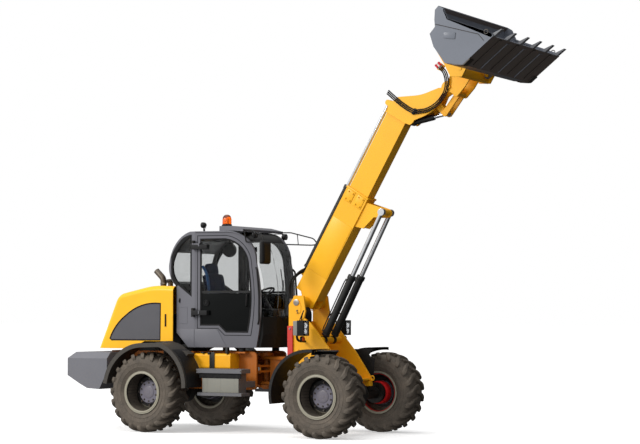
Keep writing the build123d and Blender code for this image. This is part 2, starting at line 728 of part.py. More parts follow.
# ---------------------------------------------------------------- front frame
def front_frame():
    """Tower plates, floor, neck and the ears between the rear fork's ears."""
    plate = across(outline(
        (TOWER_REAR, 600), (TOWER_REAR, 1720), (618, 1809), ((630, 1836), (655, 1841)), (776, 1840), (807, 1631),
        (788, 1543), (886, 1475), (1227, 1076), (1480, 708), (1343, 703), (1200, 640), (1100, 600)),
        TOWER_INNER, TOWER_INNER + PLATE)
    plate -= disc_y(*BOOM_PIVOT, BOOM_PIN + FIT, TOWER_INNER - 10, TOWER_INNER + 40)
    frame = plate + flipped(plate)
    half = TOWER_INNER + 1
    frame += block(TOWER_REAR, TOWER_REAR + PLATE, -half, half, 640, 1500)
    frame += block(TOWER_REAR, 1180, -half, half, 640, 640 + PLATE)
    frame += block(1330, 1450, -half, half, 716, 741)
    low = EAR_LOW + EAR_THICK + 5
    high = EAR_HIGH - 5
    ear = make_face(Polyline((0, -85), (TOWER_REAR + 5, -250), (TOWER_REAR + 5, 250), (0, 85), close=True)) + Circle(85)
    for z in (low, high - EAR_THICK):
        frame += upward(ear, z, z + EAR_THICK)
    frame += block(130, TOWER_REAR + 5, -120, 120, low + EAR_THICK - 1, high - EAR_THICK + 1)
    frame += disc_z(0, 0, 85, STEER_Z - 55, STEER_Z + 55)
    x, y = STEER_HORN
    for z in (STEER_Z - 50, STEER_Z + 22 + SEAT):
        top = z + 28 - SEAT
        horn = make_face(Polyline((-70, 0), (x - 42, y), (x + 42, y), (135, 90), (135, 0), close=True))
        frame += pair(upward(horn, z, top) + disc_z(x, y, 42, z, top))
    for z in (STEER_Z - 60, STEER_Z + 50):
        frame += pair(disc_z(x, y, LINKAGE_PIN + 6, z, z + 10))
    frame += block(50, 140, -85, 85, STEER_Z - 50, STEER_Z + 50)
    frame -= disc_z(0, 0, PIVOT_PIN + FIT, low - 10, high + 10)
    pads = pair(block(AXLE_X - 90, AXLE_X + 90, 240, 325, 640 + SEAT, 706))
    return frame + pads


def lift_base_pin():
    """Stepped cross pin that carries both lift cylinders."""
    pin = disc_y(*LIFT_BASE, LIFT_PIN, -TOWER_INNER + SEAT, TOWER_INNER - SEAT)
    gap = LIFT_Y - 25 - 2
    pin += disc_y(*LIFT_BASE, 45, -gap, gap)
    outer = disc_y(*LIFT_BASE, 45, LIFT_Y + 27, TOWER_INNER - SEAT)
    return pin + pair(outer)


def front_fenders():
    """Mudguards over the rear quarter of the front wheels, on brackets from the tower."""
    centre = (AXLE_X, TYRE_RADIUS)
    curve = [(686, 435), ((758, 870), (1055, 1109)), ((1185, 1140), (1324, 1145))]
    sheet = fender_sheet(curve, centre, FENDER_THICK, 560, FENDER_OUTER)
    lip = fender_sheet(curve, centre, 40, FENDER_OUTER - 12, FENDER_OUTER)
    arm = block(1060, 1120, TOWER_INNER + PLATE + SEAT, 600, 1060, 1104)
    return pair(sheet + lip + arm)


def headlamps():
    """Front lamps on stalks from the tower: housing, indicator and bracket."""
    inner = TOWER_INNER + PLATE + SEAT
    housing = block(860, 960, 480, 630, 1310, 1510)
    case = block(720, 862, 490, 620, 1320, 1500)
    indicator = block(870, 930, 510, 590, 1240, 1300)
    stalk = block(780, 840, inner, 500, 1330, 1370) + block(870, 900, 520, 580, 1290, 1320)
    return pair(housing + case + indicator + stalk)


def lock_bar():
    """Steering lock bar, stowed upright on the tower's right plate."""
    y = -TOWER_INNER - PLATE - SEAT
    return block(541, 619, y - 24, y, 960, 1437)


# ---------------------------------------------------------------- cylinders
def steering_cylinder():
    """Right steering cylinder: barrel on the rear frame, rod on the front frame."""
    base = Vector(STEER_BASE[0], -STEER_BASE[1], STEER_Z)
    end = Vector(STEER_HORN[0], -STEER_HORN[1], STEER_Z)
    aim = (end - base).normalized()
    barrel = disc_z(base.X, base.Y, 40, STEER_Z - 22, STEER_Z + 22)
    barrel += bar(base + aim * 30, base + aim * 100, 21) + bar(base + aim * 95, base + aim * 470, 36)
    barrel -= disc_z(base.X, base.Y, LINKAGE_PIN + FIT, STEER_Z - 30, STEER_Z + 30)
    barrel -= bar(base + aim * 102, base + aim * 480, 18 + FIT)
    rod = bar(base + aim * 275, end - aim * 30, 18)
    rod += disc_z(end.X, end.Y, 36, STEER_Z - 20, STEER_Z + 20)
    return barrel, rod


def lift_cylinders():
    """Two lift cylinders: barrels as one body, rods as another."""
    top = boom_xz(LIFT_EYE)
    barrels = []
    rods = []
    for y in (-LIFT_Y, LIFT_Y):
        base = Vector(LIFT_BASE[0], y, LIFT_BASE[1])
        end = Vector(top[0], y, top[1])
        aim = (end - base).normalized()
        barrel = disc_y(*LIFT_BASE, 55, y - 25, y + 25) + bar(base + aim * 40, base + aim * 80, 24)
        barrel += bar(base + aim * 68, base + aim * 960, 50)
        barrel -= disc_y(*LIFT_BASE, LIFT_PIN + FIT, y - 30, y + 30)
        barrel -= bar(base + aim * 84, base + aim * 970, 30 + FIT)
        barrels.append(barrel)
        rods.append(bar(base + aim * 850, end - aim * 40, 30) + disc_y(top[0], top[1], 48, y - 25, y + 25))
    return barrels, rods


def telescope_cylinder():
    """Telescope cylinder along the boom's upper face, in the boom's axes."""
    s, h = TELESCOPE_BASE_S, TELESCOPE_H
    gland = OUTER_END - 40
    rod_start = gland - 130
    barrel = disc_y(s, h, 40, -22, 22) + bar((s + 30, 0, h), (s + 90, 0, h), 20) + bar((s + 78, 0, h), (gland, 0, h), 40)
    barrel -= disc_y(s, h, LINKAGE_PIN + FIT, -30, 30)
    barrel -= bar((rod_start - TELESCOPE_STROKE - RUN, 0, h), (gland + 10, 0, h), 22 + FIT)
    rod = bar((rod_start, 0, h), (TELESCOPE_EYE_S - 25, 0, h), 22)
    rod += disc_y(TELESCOPE_EYE_S, h, 36, -20, 20)
    rod -= disc_y(TELESCOPE_EYE_S, h, LINKAGE_PIN + FIT, -30, 30)
    return barrel, rod


# ---------------------------------------------------------------- boom
def outer_boom():
    """Outer boom tube with its pivot boss, cylinder brackets and pins."""
    tube = block(100, OUTER_END, -OUTER_HALF, OUTER_HALF, -OUTER_BELOW, OUTER_TOP)
    cavity = block(
        160, OUTER_END + 10, -OUTER_HALF + OUTER_WALL, OUTER_HALF - OUTER_WALL,
        -OUTER_BELOW + OUTER_WALL, OUTER_TOP - OUTER_WALL)
    cheek = across(outline(
        (-15, -OUTER_BELOW), (400, -OUTER_BELOW), (400, OUTER_TOP), (180, OUTER_TOP), (60, 92),
        ((-92, 0), (-40, -92))), OUTER_HALF - 20, OUTER_HALF)
    boom = tube + cheek + flipped(cheek)
    boom += disc_y(0, 0, 88, -TOWER_INNER + 5, TOWER_INNER - 5)
    boom -= cavity
    boom += disc_y(0, 0, BOOM_PIN, -TOWER_INNER - PLATE - 12, TOWER_INNER + PLATE + 12)
    plate = across(outline(
        (1242, -OUTER_BELOW + 2), (1284, -269), (1487, -330), (1548, -442), ((1610, -465), (1658, -408)),
        (1602, -OUTER_BELOW + 2)), 65, 90)
    boom += plate + flipped(plate)
    boom += disc_y(*LIFT_EYE, 40, -90, 90)
    s, h = TELESCOPE_BASE_S, TELESCOPE_H
    lug = across(outline((s - 60, OUTER_TOP - 2), (s + 60, OUTER_TOP - 2), (s + 40, h), ((s, h + 42), (s - 40, h))), 24, 44)
    boom += lug + flipped(lug)
    boom += disc_y(s, h, LINKAGE_PIN, -44, 44)
    return boom


def inner_boom():
    """Inner boom tube and the cranked head that carries the coupler."""
    half = OUTER_HALF - OUTER_WALL - BOOM_GAP
    top = OUTER_TOP - OUTER_WALL - BOOM_GAP
    low = -OUTER_BELOW + OUTER_WALL + BOOM_GAP
    tube = block(INNER_START, HEAD_START + 20, -half, half, low, top)
    tube -= block(INNER_START - 10, HEAD_START - 20, -half + INNER_WALL, half - INNER_WALL, low + INNER_WALL, top - INNER_WALL)
    profile = outline(
        (HEAD_START, top - 12), (HEAD_START + 90, top + 16), (3026, 137), (3164, -91), ((3225, -170), (3303, -245)),
        (3420, -365), ((3543, -458), (3452, -529)), (3395, -450), (3330, -415), (3200, -425),
        (3100, -410), (2984, -330), (2870, -228), ((2826, -222), (2786, -195)), (HEAD_START, low - 20))
    side = across(profile, HEAD_HALF - HEAD_PLATE, HEAD_HALF)
    head = side + flipped(side)
    spine = outline(
        (HEAD_START, top - 12), (HEAD_START + 90, top + 16), (3026, 137), (3164, -91), ((3225, -170), (3303, -245)),
        (3400, -335), (3386, -350), ((3211, -184), (3147, -102)), (3010, 118), (2880, 190), (HEAD_START, 160))
    head += across(spine, -HEAD_HALF, HEAD_HALF)
    head += block(HEAD_START - 6, HEAD_START + 14, -HEAD_HALF, HEAD_HALF, low - 20, top + 5)
    s, h = TELESCOPE_EYE_S, TELESCOPE_H
    lug = across(outline((s - 50, 180), (s + 50, 170), (s + 36, h), ((s, h + 38), (s - 36, h))), 26, 46)
    head += lug + flipped(lug)
    head += disc_y(s, h, LINKAGE_PIN, -46, 46)
    boss = disc_y(*HEAD_PIVOT, 46, -HEAD_HALF, HEAD_HALF) - disc_y(*HEAD_PIVOT, HEAD_PIN + FIT, -200, 200)
    head -= disc_y(*HEAD_PIVOT, 46 - 1, -HEAD_HALF, HEAD_HALF)
    head += boss
    for point in (TILT_BASE, ROCKER_PIN):
        head += disc_y(*point, LINKAGE_PIN, -HEAD_HALF + 1, HEAD_HALF - 1)
    return tube + head


def head_hoses():
    """Three hoses held along the head's right plate, in the boom's axes, and their clamp."""
    face = -HEAD_HALF - SEAT
    y = face - HOSE
    made = []
    clamp = block(2930, 3014, face - 2 * HOSE - 8, face, -190, -166)
    for shift in (-23, 0, 23):
        points = [(3014 + shift, y, 300), (2994 + shift, y, 190), (2970 + shift, y, 40), (2962 + shift, y, -90), (2973 + shift, y, -205)]
        made.append(tube_path(points, [400, 600, 500], HOSE))
        clamp -= tube_path(points, [400, 600, 500], HOSE + SEAT)
    return made + [clamp]


# ---------------------------------------------------------------- tilt linkage
def tilt_cylinder():
    """Tilt cylinder between the head plates, in the boom's axes."""
    base = Vector(TILT_BASE[0], 0, TILT_BASE[1])
    end = Vector(ROD_PIN[0], 0, ROD_PIN[1])
    aim = (end - base).normalized()
    barrel = disc_y(*TILT_BASE, 44, -28, 28) + bar(base + aim * 30, base + aim * 310, ROCKER_INNER - RUN)
    barrel -= disc_y(*TILT_BASE, LINKAGE_PIN + FIT, -40, 40)
    barrel -= bar(base + aim * 50, base + aim * 320, 24 + FIT)
    eye = ROCKER_INNER - RUN
    rod = bar(base + aim * 209, end - aim * 25, 24) + disc_y(*ROD_PIN, 36, -eye, eye)
    return barrel, rod


def strap(start, end, radius, y0, y1):
    """Flat link with round ends between two pins."""
    a = Vector(start[0], start[1])
    b = Vector(end[0], end[1])
    turn = math.degrees(math.atan2(b.Y - a.Y, b.X - a.X))
    middle = (a + b) * 0.5
    face = Pos(middle.X, middle.Y) * Rot(0, 0, turn) * Rectangle((b - a).length, 2 * radius)
    face += Pos(a.X, a.Y) * Circle(radius)
    face += Pos(b.X, b.Y) * Circle(radius)
    return across(face, y0, y1)


def tilt_rocker():
    """Pair of rocker plates on the head's rocker pin."""
    outer = ROCKER_INNER + ROCKER_THICK
    plate = strap(ROCKER_PIN, ROD_PIN, 42, ROCKER_INNER, outer)
    plate -= disc_y(*ROCKER_PIN, LINKAGE_PIN + FIT, ROCKER_INNER - 10, outer + 10)
    plate += disc_y(*ROD_PIN, LINKAGE_PIN, ROCKER_INNER, outer + LINK_THICK + 2)
    return pair(plate)


def tilt_link():
    """Pair of link plates from the rod pin to the coupler."""
    inner = ROCKER_INNER + ROCKER_THICK + 1
    plate = strap(ROD_PIN, LINK_PIN, 38, inner, inner + LINK_THICK)
    plate -= disc_y(*ROD_PIN, LINKAGE_PIN + FIT, inner - 10, inner + LINK_THICK + 10)
    return plate + flipped(plate) + disc_y(*LINK_PIN, 38, -90, 90)


# ---------------------------------------------------------------- coupler and bucket
def link_pin_local():
    """The link pin in the level bucket's axes."""
    px, pz = boom_xz(HEAD_PIVOT)
    qx, qz = boom_xz(LINK_PIN)
    turn = math.radians(-BUCKET_ANGLE)
    dx, dz = qx - px, qz - pz
    return dx * math.cos(turn) - dz * math.sin(turn), dx * math.sin(turn) + dz * math.cos(turn)


def coupler():
    """Quick coupler in the level bucket's axes: ears, cross tubes, side plates and hooks."""
    lx, lz = link_pin_local()
    ear = outline(
        (-52, 0), ((0, 52), (40, 60)), (230, 200), (300, 200), (300, -110), (180, -150), (lx, lz - 46),
        ((lx - 46, lz), (lx - 40, lz + 20)))
    ears = across(ear, HEAD_HALF + RUN, HEAD_HALF + RUN + COUPLER_PLATE)
    body = ears + flipped(ears)
    body += disc_y(0, 0, HEAD_PIN, -HEAD_HALF - 50, HEAD_HALF + 50)
    side = across(outline(
        (185, -30), (215, 150), (235, 330), ((300, 400), (365, 350)), (419.5 - SEAT, 171), (409.5 - SEAT, -97), (306, -137)),
        COUPLER_HALF - COUPLER_PLATE, COUPLER_HALF)
    body += side + flipped(side)
    body += disc_y(*HOOK_BAR, HOOK_RADIUS, -COUPLER_HALF + 1, COUPLER_HALF - 1)
    body += block(270, 300, -COUPLER_HALF + 1, COUPLER_HALF - 1, -110, 200)
    stub = disc_y(lx, lz, LINKAGE_PIN, 91, HEAD_HALF + RUN + 1)
    lock = disc_y(*LOCK_PIN, LOCK_RADIUS, LOCK_Y - 30, COUPLER_HALF + 8)
    return body + pair(stub) + pair(lock)


def bucket_profile():
    """Side outline of the level bucket."""
    return outline(
        (715, 519), (784, 527), (812, 453), (781, 317), (1115, -228), (BUCKET_LIP, BUCKET_FLOOR), (581, BUCKET_FLOOR),
        (410, -97), (420, 171), (478, 332), (586, 352), (634, 427))


def bucket():
    """Bucket shell: two sides and a plate folded into back, heel and floor."""
    half = BUCKET_HALF
    skin = outline(
        (715, 519), (784, 527), (780, 513), (722, 505), (646, 418), (594, 338), (488, 320),
        (434, 170), (424, -92), (588, BUCKET_FLOOR + FLOOR_THICK), (BUCKET_LIP, BUCKET_FLOOR + FLOOR_THICK),
        (BUCKET_LIP, BUCKET_FLOOR), (581, BUCKET_FLOOR), (410, -97), (420, 171), (478, 332),
        (586, 352), (634, 427))
    shell = across(skin, -half, half)
    cheek = across(bucket_profile(), half - 16, half)
    shell += cheek + flipped(cheek)
    for y in (-500, 0, 500):
        shell += block(600, 1060, y - 40, y + 40, BUCKET_FLOOR - 14, BUCKET_FLOOR + 1)
    return shell + pair(bucket_hook()) + pair(bucket_lug())


def bucket_hook():
    """Plate on the bucket's back that hangs over the coupler's upper bar."""
    x, z = HOOK_BAR
    reach = HOOK_RADIUS + 30
    plate = across(outline(
        (430, 185), (484, 330), (425, 386), ((x, z + reach), (x - reach, z)), (x - reach, z - 42),
        (x + 50, z - 42), (x + 70, 185)), HOOK_Y, HOOK_Y + COUPLER_PLATE)
    clear = HOOK_RADIUS + SEAT
    plate -= disc_y(x, z, clear, HOOK_Y - 10, HOOK_Y + 40)
    return plate - block(x - clear, x + clear, HOOK_Y - 10, HOOK_Y + 40, z - 60, z)


def bucket_lug():
    """Lug on the bucket's back, bored for the coupler's lock pin."""
    x, z = LOCK_PIN
    plate = across(outline((425, z - 45), (425, z + 45), (x, z + 45), ((x - 45, z), (x, z - 45))), LOCK_Y, LOCK_Y + 20)
    return plate - disc_y(x, z, LOCK_RADIUS + FIT, LOCK_Y - 10, LOCK_Y + 30)


def bucket_teeth():
    """Six bolted teeth along the lip."""
    top = BUCKET_FLOOR + FLOOR_THICK
    lip = BUCKET_LIP + SEAT
    tooth = outline(
        (lip - 100, top + SEAT), (lip, top + SEAT), (lip, BUCKET_FLOOR), (TOOTH_TIP, BUCKET_FLOOR - 3),
        (TOOTH_TIP, BUCKET_FLOOR + 6), (lip + 20, top + 24), (lip - 100, top + 20))
    made = []
    for y in (-965, -579, -193, 193, 579, 965):
        made.append(across(tooth, y - 32, y + 32))
    return made


# ---------------------------------------------------------------- assembly
def assembly():
    """Every node of the machine, by name."""
    floor, mounts = cab_floor()
    barrel, rod = steering_cylinder()
    lift_barrels, lift_rods = lift_cylinders()
    telescope_barrel, telescope_rod = telescope_cylinder()
    tilt_barrel, tilt_rod = tilt_cylinder()
    leaf = door()
    glass = door_glass()
    nodes = {
        "rear_frame": [rear_frame(), articulation_pin()],
        "rear_axle": axle(-AXLE_X),
        "counterweight": counterweight(),
        "engine_block": engine(),
        "side_tanks": side_tanks(),
        "boarding_steps": steps(),
        "rear_fenders": rear_fenders(),
        "cab_floor": floor,
        "cab_mounts": mounts,
        "cab_frame": cab_frame(),
        "door_hinges": door_hinges(),
        "hood_hinges": hood_hinges(),
        "cab_nose": cab_nose(),
        "cab_glass": cab_glass(),
        "cab_roof": cab_roof(),
        "roof_lights": roof_lights(),
        "mirrors": mirrors(),
        "cab_interior": cab_interior(),
        "seat_cushion": seat_cushion(),
        "door_right": leaf,
        "door_left": flipped(leaf),
        "door_glass_right": glass,
        "door_glass_left": flipped(glass),
        "hood": hood(),
        "hood_grilles": hood_grilles(),
        "exhaust": exhaust(),
        "front_frame": [front_frame(), lift_base_pin()],
        "front_axle": axle(AXLE_X),
        "front_fenders": front_fenders(),
        "headlamps": headlamps(),
        "lock_bar": lock_bar(),
        "steering_barrel_right": barrel,
        "steering_barrel_left": flipped(barrel),
        "steering_rod_right": rod,
        "steering_rod_left": flipped(rod),
        "lift_barrels": lift_barrels,
        "lift_rods": lift_rods,
        "outer_boom": on_boom(outer_boom()),
        "telescope_barrel": on_boom(telescope_barrel),
        "telescope_rod": on_boom(telescope_rod),
        "inner_boom": on_boom(inner_boom()),
        "head_hoses": [on_boom(piece) for piece in head_hoses()],
        "tilt_barrel": on_boom(tilt_barrel),
        "tilt_rod": on_boom(tilt_rod),
        "tilt_rocker": [on_boom(plate) for plate in tilt_rocker()],
        "tilt_link": on_boom(tilt_link()),
        "coupler": on_bucket(coupler()),
        "bucket": on_bucket(bucket()),
        "bucket_teeth": [on_bucket(tooth) for tooth in bucket_teeth()],
    }
    nodes.update(wheels())
    return nodes


def main():
    """Writes one STEP file for each node."""
    os.makedirs("parts", exist_ok=True)
    for name, shape in assembly().items():
        moved = [Pos(-ORIGIN_X, 0, 0) * solid for solid in solids_of(shape)]
        whole = moved[0] if len(moved) == 1 else Compound(children=moved)
        export_step(whole, os.path.join("parts", f"{name}.step"))


if __name__ == "__main__":
    main()
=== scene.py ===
import math
from functools import partial

import bmesh
import bpy
from mathutils import Matrix, Vector


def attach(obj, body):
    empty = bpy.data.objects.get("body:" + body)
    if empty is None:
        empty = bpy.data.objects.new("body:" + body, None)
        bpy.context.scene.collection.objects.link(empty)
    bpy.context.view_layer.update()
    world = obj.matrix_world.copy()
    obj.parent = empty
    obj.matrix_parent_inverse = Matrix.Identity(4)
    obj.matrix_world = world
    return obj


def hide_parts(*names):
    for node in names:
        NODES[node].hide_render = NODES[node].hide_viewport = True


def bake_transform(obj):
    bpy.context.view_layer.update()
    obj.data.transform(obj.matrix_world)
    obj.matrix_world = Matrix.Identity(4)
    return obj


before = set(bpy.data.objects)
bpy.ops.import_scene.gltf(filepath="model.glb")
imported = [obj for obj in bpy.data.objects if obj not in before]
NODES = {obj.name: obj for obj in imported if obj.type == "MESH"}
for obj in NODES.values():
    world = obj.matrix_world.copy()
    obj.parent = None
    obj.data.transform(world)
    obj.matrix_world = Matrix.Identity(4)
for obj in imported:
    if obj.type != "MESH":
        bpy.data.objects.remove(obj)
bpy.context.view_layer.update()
UP = (0, 0, 1)
AHEAD = Vector((1, 0, 0))
ORIGIN_X = 0.630  # how far the frame's origin lies ahead of the steering pivot, in metres
SIDES = (("right", -1), ("left", 1))


# ------------------------------------------------------------------ materials
class Nodes:
    """Short-hand for building one material's node tree."""

    def __init__(self, name):
        self.mat = bpy.data.materials.new(name)
        self.mat.use_nodes = True
        self.tree = self.mat.node_tree
        self.shader = self.tree.nodes["Principled BSDF"]
        self.place = self.tree.nodes.new("ShaderNodeTexCoord")
        self.coords = self.place.outputs["Object"]

    def node(self, kind, **sockets):
        made = self.tree.nodes.new(kind)
        for key, value in sockets.items():
            self.feed(made.inputs[key.replace("_", " ")], value)
        return made

    def feed(self, socket, value):
        if isinstance(value, bpy.types.NodeSocket):
            self.tree.links.new(value, socket)
        else:
            socket.default_value = value

    def noise(self, scale, detail=4.0, rough=0.55, stretch=None):
        place = self.coords
        if stretch:
            place = self.node("ShaderNodeMapping", Vector=self.coords, Scale=stretch).outputs[0]
        made = self.node("ShaderNodeTexNoise", Vector=place, Scale=scale, Detail=detail, Roughness=rough)
        return made.outputs["Fac"]

    def axis(self, letter):
        """One coordinate of the object."""
        return self.node("ShaderNodeSeparateXYZ", Vector=self.coords).outputs[letter]

    def ramp(self, fac, low, high, a=(0, 0, 0, 1), b=(1, 1, 1, 1)):
        made = self.node("ShaderNodeValToRGB", Fac=fac)
        made.color_ramp.elements[0].position = low
        made.color_ramp.elements[1].position = high
        made.color_ramp.elements[0].color = a
        made.color_ramp.elements[1].color = b
        return made.outputs["Color"]

    def math(self, how, a, b=0.5):
        made = self.tree.nodes.new("ShaderNodeMath")
        made.operation = how
        self.feed(made.inputs[0], a)
        self.feed(made.inputs[1], b)
        return made.outputs[0]

    def spread(self, fac, gain, base):
        """A factor times a gain, on a base."""
        return self.math("ADD", self.math("MULTIPLY", fac, gain), base)

    def mix(self, fac, a, b):
        made = self.tree.nodes.new("ShaderNodeMix")
        made.data_type = "RGBA"
        self.feed(made.inputs[0], fac)
        self.feed(made.inputs[6], a)
        self.feed(made.inputs[7], b)
        return made.outputs[2]

    def bump(self, height, strength, distance, normal=None):
        made = self.node("ShaderNodeBump", Height=height, Strength=strength, Distance=distance)
        if normal is not None:
            self.tree.links.new(normal, made.inputs["Normal"])
        return made.outputs["Normal"]

    def soft_edges(self, radius):
        made = self.tree.nodes.new("ShaderNodeBevel")
        made.samples = 3
        made.inputs["Radius"].default_value = radius
        return made.outputs["Normal"]

    def low_down(self, z0, z1):
        """1 at z0 and below, 0 at z1 and above."""
        made = self.node("ShaderNodeMapRange", Value=self.axis("Z"))
        made.inputs["From Min"].default_value = z0
        made.inputs["From Max"].default_value = z1
        made.inputs["To Min"].default_value = 1
        made.inputs["To Max"].default_value = 0
        return made.outputs[0]

    def dust(self, patches, z0, z1, amount, base):
        """Dust in patches, thickest at z0 and below."""
        return self.math("MULTIPLY", patches, self.spread(self.low_down(z0, z1), amount, amount * base))

    def looks_in(self, centre):
        """1 on the faces that look towards a place, 0 on those that look away."""
        away = self.vector("SUBTRACT", self.coords, centre)
        turned = self.vector("DOT_PRODUCT", self.place.outputs["Normal"], away, "Value")
        return self.math("LESS_THAN", turned, 0.0)

    def off_axle(self, x, z):
        """Distance from an axle that runs across the object."""
        flat = self.vector("MULTIPLY", self.vector("SUBTRACT", self.coords, (x, 0, z)), (1, 0, 1))
        return self.vector("LENGTH", flat, (0, 0, 0), "Value")

    def vector(self, how, a, b, output="Vector"):
        made = self.tree.nodes.new("ShaderNodeVectorMath")
        made.operation = how
        self.feed(made.inputs[0], a)
        self.feed(made.inputs[1], b)
        return made.outputs[output]

    def set(self, **values):
        for key, value in values.items():
            self.feed(self.shader.inputs[key.replace("_", " ")], value)
        return self.mat


def rgb(r, g, b):
    """Linear colour from 8-bit sRGB numbers."""
    def one(v):
        v /= 255
        return v / 12.92 if v <= 0.04045 else ((v + 0.055) / 1.055) ** 2.4
    return (one(r), one(g), one(b), 1.0)


def darker(colour, share):
    """The colour times a share."""
    return tuple(c * share for c in colour[:3]) + (1,)


def paint(name, colour, rough=0.32, dusty=0.25, peel=0.06, edge=0.004, coat=0.4, dust=rgb(150, 136, 116),
          second=(), shine=0.3):
    """Sprayed paint: orange peel, slow colour drift and dust that gathers low down.

    Each second colour comes with the function that masks it on these nodes."""
    n = Nodes(name)
    body = n.mix(n.ramp(n.noise(1.7, 5), 0.35, 0.75), colour, darker(colour, 0.9))
    for other, mask in second:
        body = n.mix(mask(n), body, other)
    fine = n.noise(38, 6, 0.7)
    body = n.mix(n.dust(n.ramp(fine, 0.42, 0.78), 0.2, 1.4, dusty, 0.22), body, dust)
    normal = n.bump(n.noise(420, 2), peel, 0.001, n.soft_edges(edge) if edge else None)
    return n.set(Base_Color=body, Roughness=n.spread(fine, 0.12, rough - 0.05), Normal=normal,
                 Coat_Weight=coat, Coat_Roughness=0.18, Specular_IOR_Level=shine)


def plastic(name, colour, rough=0.55, grain=900, depth=0.12, edge=0.003, dusty=0.2, shine=0.22):
    """Moulded plastic with a fine grain."""
    n = Nodes(name)
    speck = n.noise(grain, 2)
    film = n.dust(n.ramp(n.noise(26, 6, 0.7), 0.45, 0.8), 0.1, 1.6, dusty, 0.2)
    body = n.mix(film, colour, rgb(128, 120, 108))
    normal = n.bump(speck, depth, 0.0008, n.soft_edges(edge) if edge else None)
    return n.set(Base_Color=body, Roughness=n.spread(speck, 0.15, rough - 0.07), Normal=normal,
                 Specular_IOR_Level=shine)


def metal(name, colour, rough, grain=160, depth=0.05, edge=0.002, stain=None):
    """Bare metal with a fine grain and stains."""
    n = Nodes(name)
    lines = n.noise(grain, 3, 0.6, (1, 1, 1))
    body = n.mix(n.ramp(n.noise(9, 5), 0.4, 0.8), colour, stain or darker(colour, 0.75))
    normal = n.bump(lines, depth, 0.0006, n.soft_edges(edge) if edge else None)
    return n.set(Base_Color=body, Roughness=n.spread(lines, 0.15, rough - 0.07), Metallic=1.0, Normal=normal)


def rubber(name, colour, dust, amount):
    """Tyre rubber, dusty in patches."""
    n = Nodes(name)
    patch = n.noise(7, 6, 0.7)
    fine = n.noise(75, 5, 0.7)
    both = n.math("MULTIPLY", n.math("ADD", patch, fine), 0.5)
    film = n.math("MULTIPLY", n.ramp(both, 0.36, 0.66), amount)
    body = n.mix(film, colour, dust)
    normal = n.bump(fine, 0.14, 0.002)
    return n.set(Base_Color=body, Roughness=n.spread(film, 0.15, 0.72), Normal=normal, Specular_IOR_Level=0.3)


def clear(name, tint, rough=0.02, ior=1.45):
    """Glass for panes and lenses."""
    n = Nodes(name)
    smear = n.ramp(n.noise(14, 5), 0.55, 0.9)
    return n.set(Base_Color=tint, Roughness=n.spread(smear, 0.06, rough), Transmission_Weight=1.0, IOR=ior)


CAB_MIDDLE = (-0.450 - ORIGIN_X, 0, 1.950)
BLACK_IN = (rgb(22, 23, 24), lambda n: n.looks_in(CAB_MIDDLE))
TOWER_BACK = 0.535 - ORIGIN_X  # the front frame is in shade behind this
SHADED_BACK = (rgb(168, 92, 16), lambda n: n.math("LESS_THAN", n.axis("X"), TOWER_BACK))
YELLOW = paint("boom_yellow", rgb(250, 182, 10), 0.42, dusty=0.08, coat=0.06)
HOOD_YELLOW = paint("hood_yellow", rgb(251, 186, 14), 0.36, dusty=0.1, coat=0.12)
FRAME_YELLOW = paint("frame_yellow", rgb(248, 176, 12), 0.45, dusty=0.15, coat=0.05)
# Painted shade: the rear frame's yellow, darkened to orange for the shadow the cab casts over it.
PAINTED_SHADE_ORANGE = paint("shaded_orange", rgb(176, 96, 16), 0.5, dusty=0.25, coat=0.05)
FRONT_FRAME = paint("front_frame_yellow", rgb(248, 176, 12), 0.45, dusty=0.15, coat=0.05,
    second=[SHADED_BACK])
SLATE = paint("slate_paint", rgb(102, 102, 109), 0.38, dusty=0.12)
CAB_SLATE = paint("cab_slate", rgb(100, 100, 107), 0.38, dusty=0.12, coat=0.15, second=[BLACK_IN])


def door_bar(n):
    """The door's cross bar, which is black between its two grey stiles."""
    level, along = (
        n.math("LESS_THAN", n.math("ABSOLUTE", n.math("SUBTRACT", n.axis(letter), middle)), half)
        for letter, middle, half in (("Z", 1.880, 0.045), ("X", -0.330 - ORIGIN_X, 0.352)))
    return n.math("MULTIPLY", level, along)


DOOR_SLATE = paint("door_slate", rgb(100, 100, 107), 0.38, dusty=0.12, coat=0.15,
    second=[BLACK_IN, (rgb(16, 17, 18), door_bar)])
WEIGHT = paint("weight_slate", rgb(106, 107, 114), 0.5, dusty=0.2, coat=0.15)
BLACK_PAINT = paint("black_paint", rgb(24, 23, 22), 0.4, dusty=0.08, coat=0.05, shine=0.2)
DARK = paint("chassis_dark", rgb(28, 29, 29), 0.42, dusty=0.15, coat=0.05)
RED = paint("red_paint", rgb(206, 44, 34), 0.35, dusty=0.1)
BUCKET_TIP = math.radians(37.5)  # how far the bucket's own X is turned up from the ground's
BUCKET_COS = math.cos(BUCKET_TIP)
BUCKET_SIN = math.sin(BUCKET_TIP)


def bucket_under(n):
    """1 on the faces that look down in the bucket's own axes."""
    down = (BUCKET_SIN, 0, -BUCKET_COS)
    return n.math("GREATER_THAN", n.vector("DOT_PRODUCT", n.place.outputs["Normal"], down, "Value"), 0.8)


SOIL = rgb(90, 82, 76)
WORN_UNDER = (rgb(114, 102, 95), bucket_under)
BUCKET = paint("bucket_paint", rgb(112, 117, 127), 0.5, dusty=0.1, coat=0.1, dust=SOIL, second=[WORN_UNDER])
# Painted shade: the near-black base falls on the floor strips' sides and ends, for the dark lines of the
# grooves in the bucket's floor; the strips' down faces take the worn underside colour.
STRIP_SHADE_AND_WEAR = paint("bucket_strip_shade_and_wear", rgb(26, 24, 23), 0.55, dusty=0.1, coat=0.05, dust=SOIL,
    second=[WORN_UNDER])
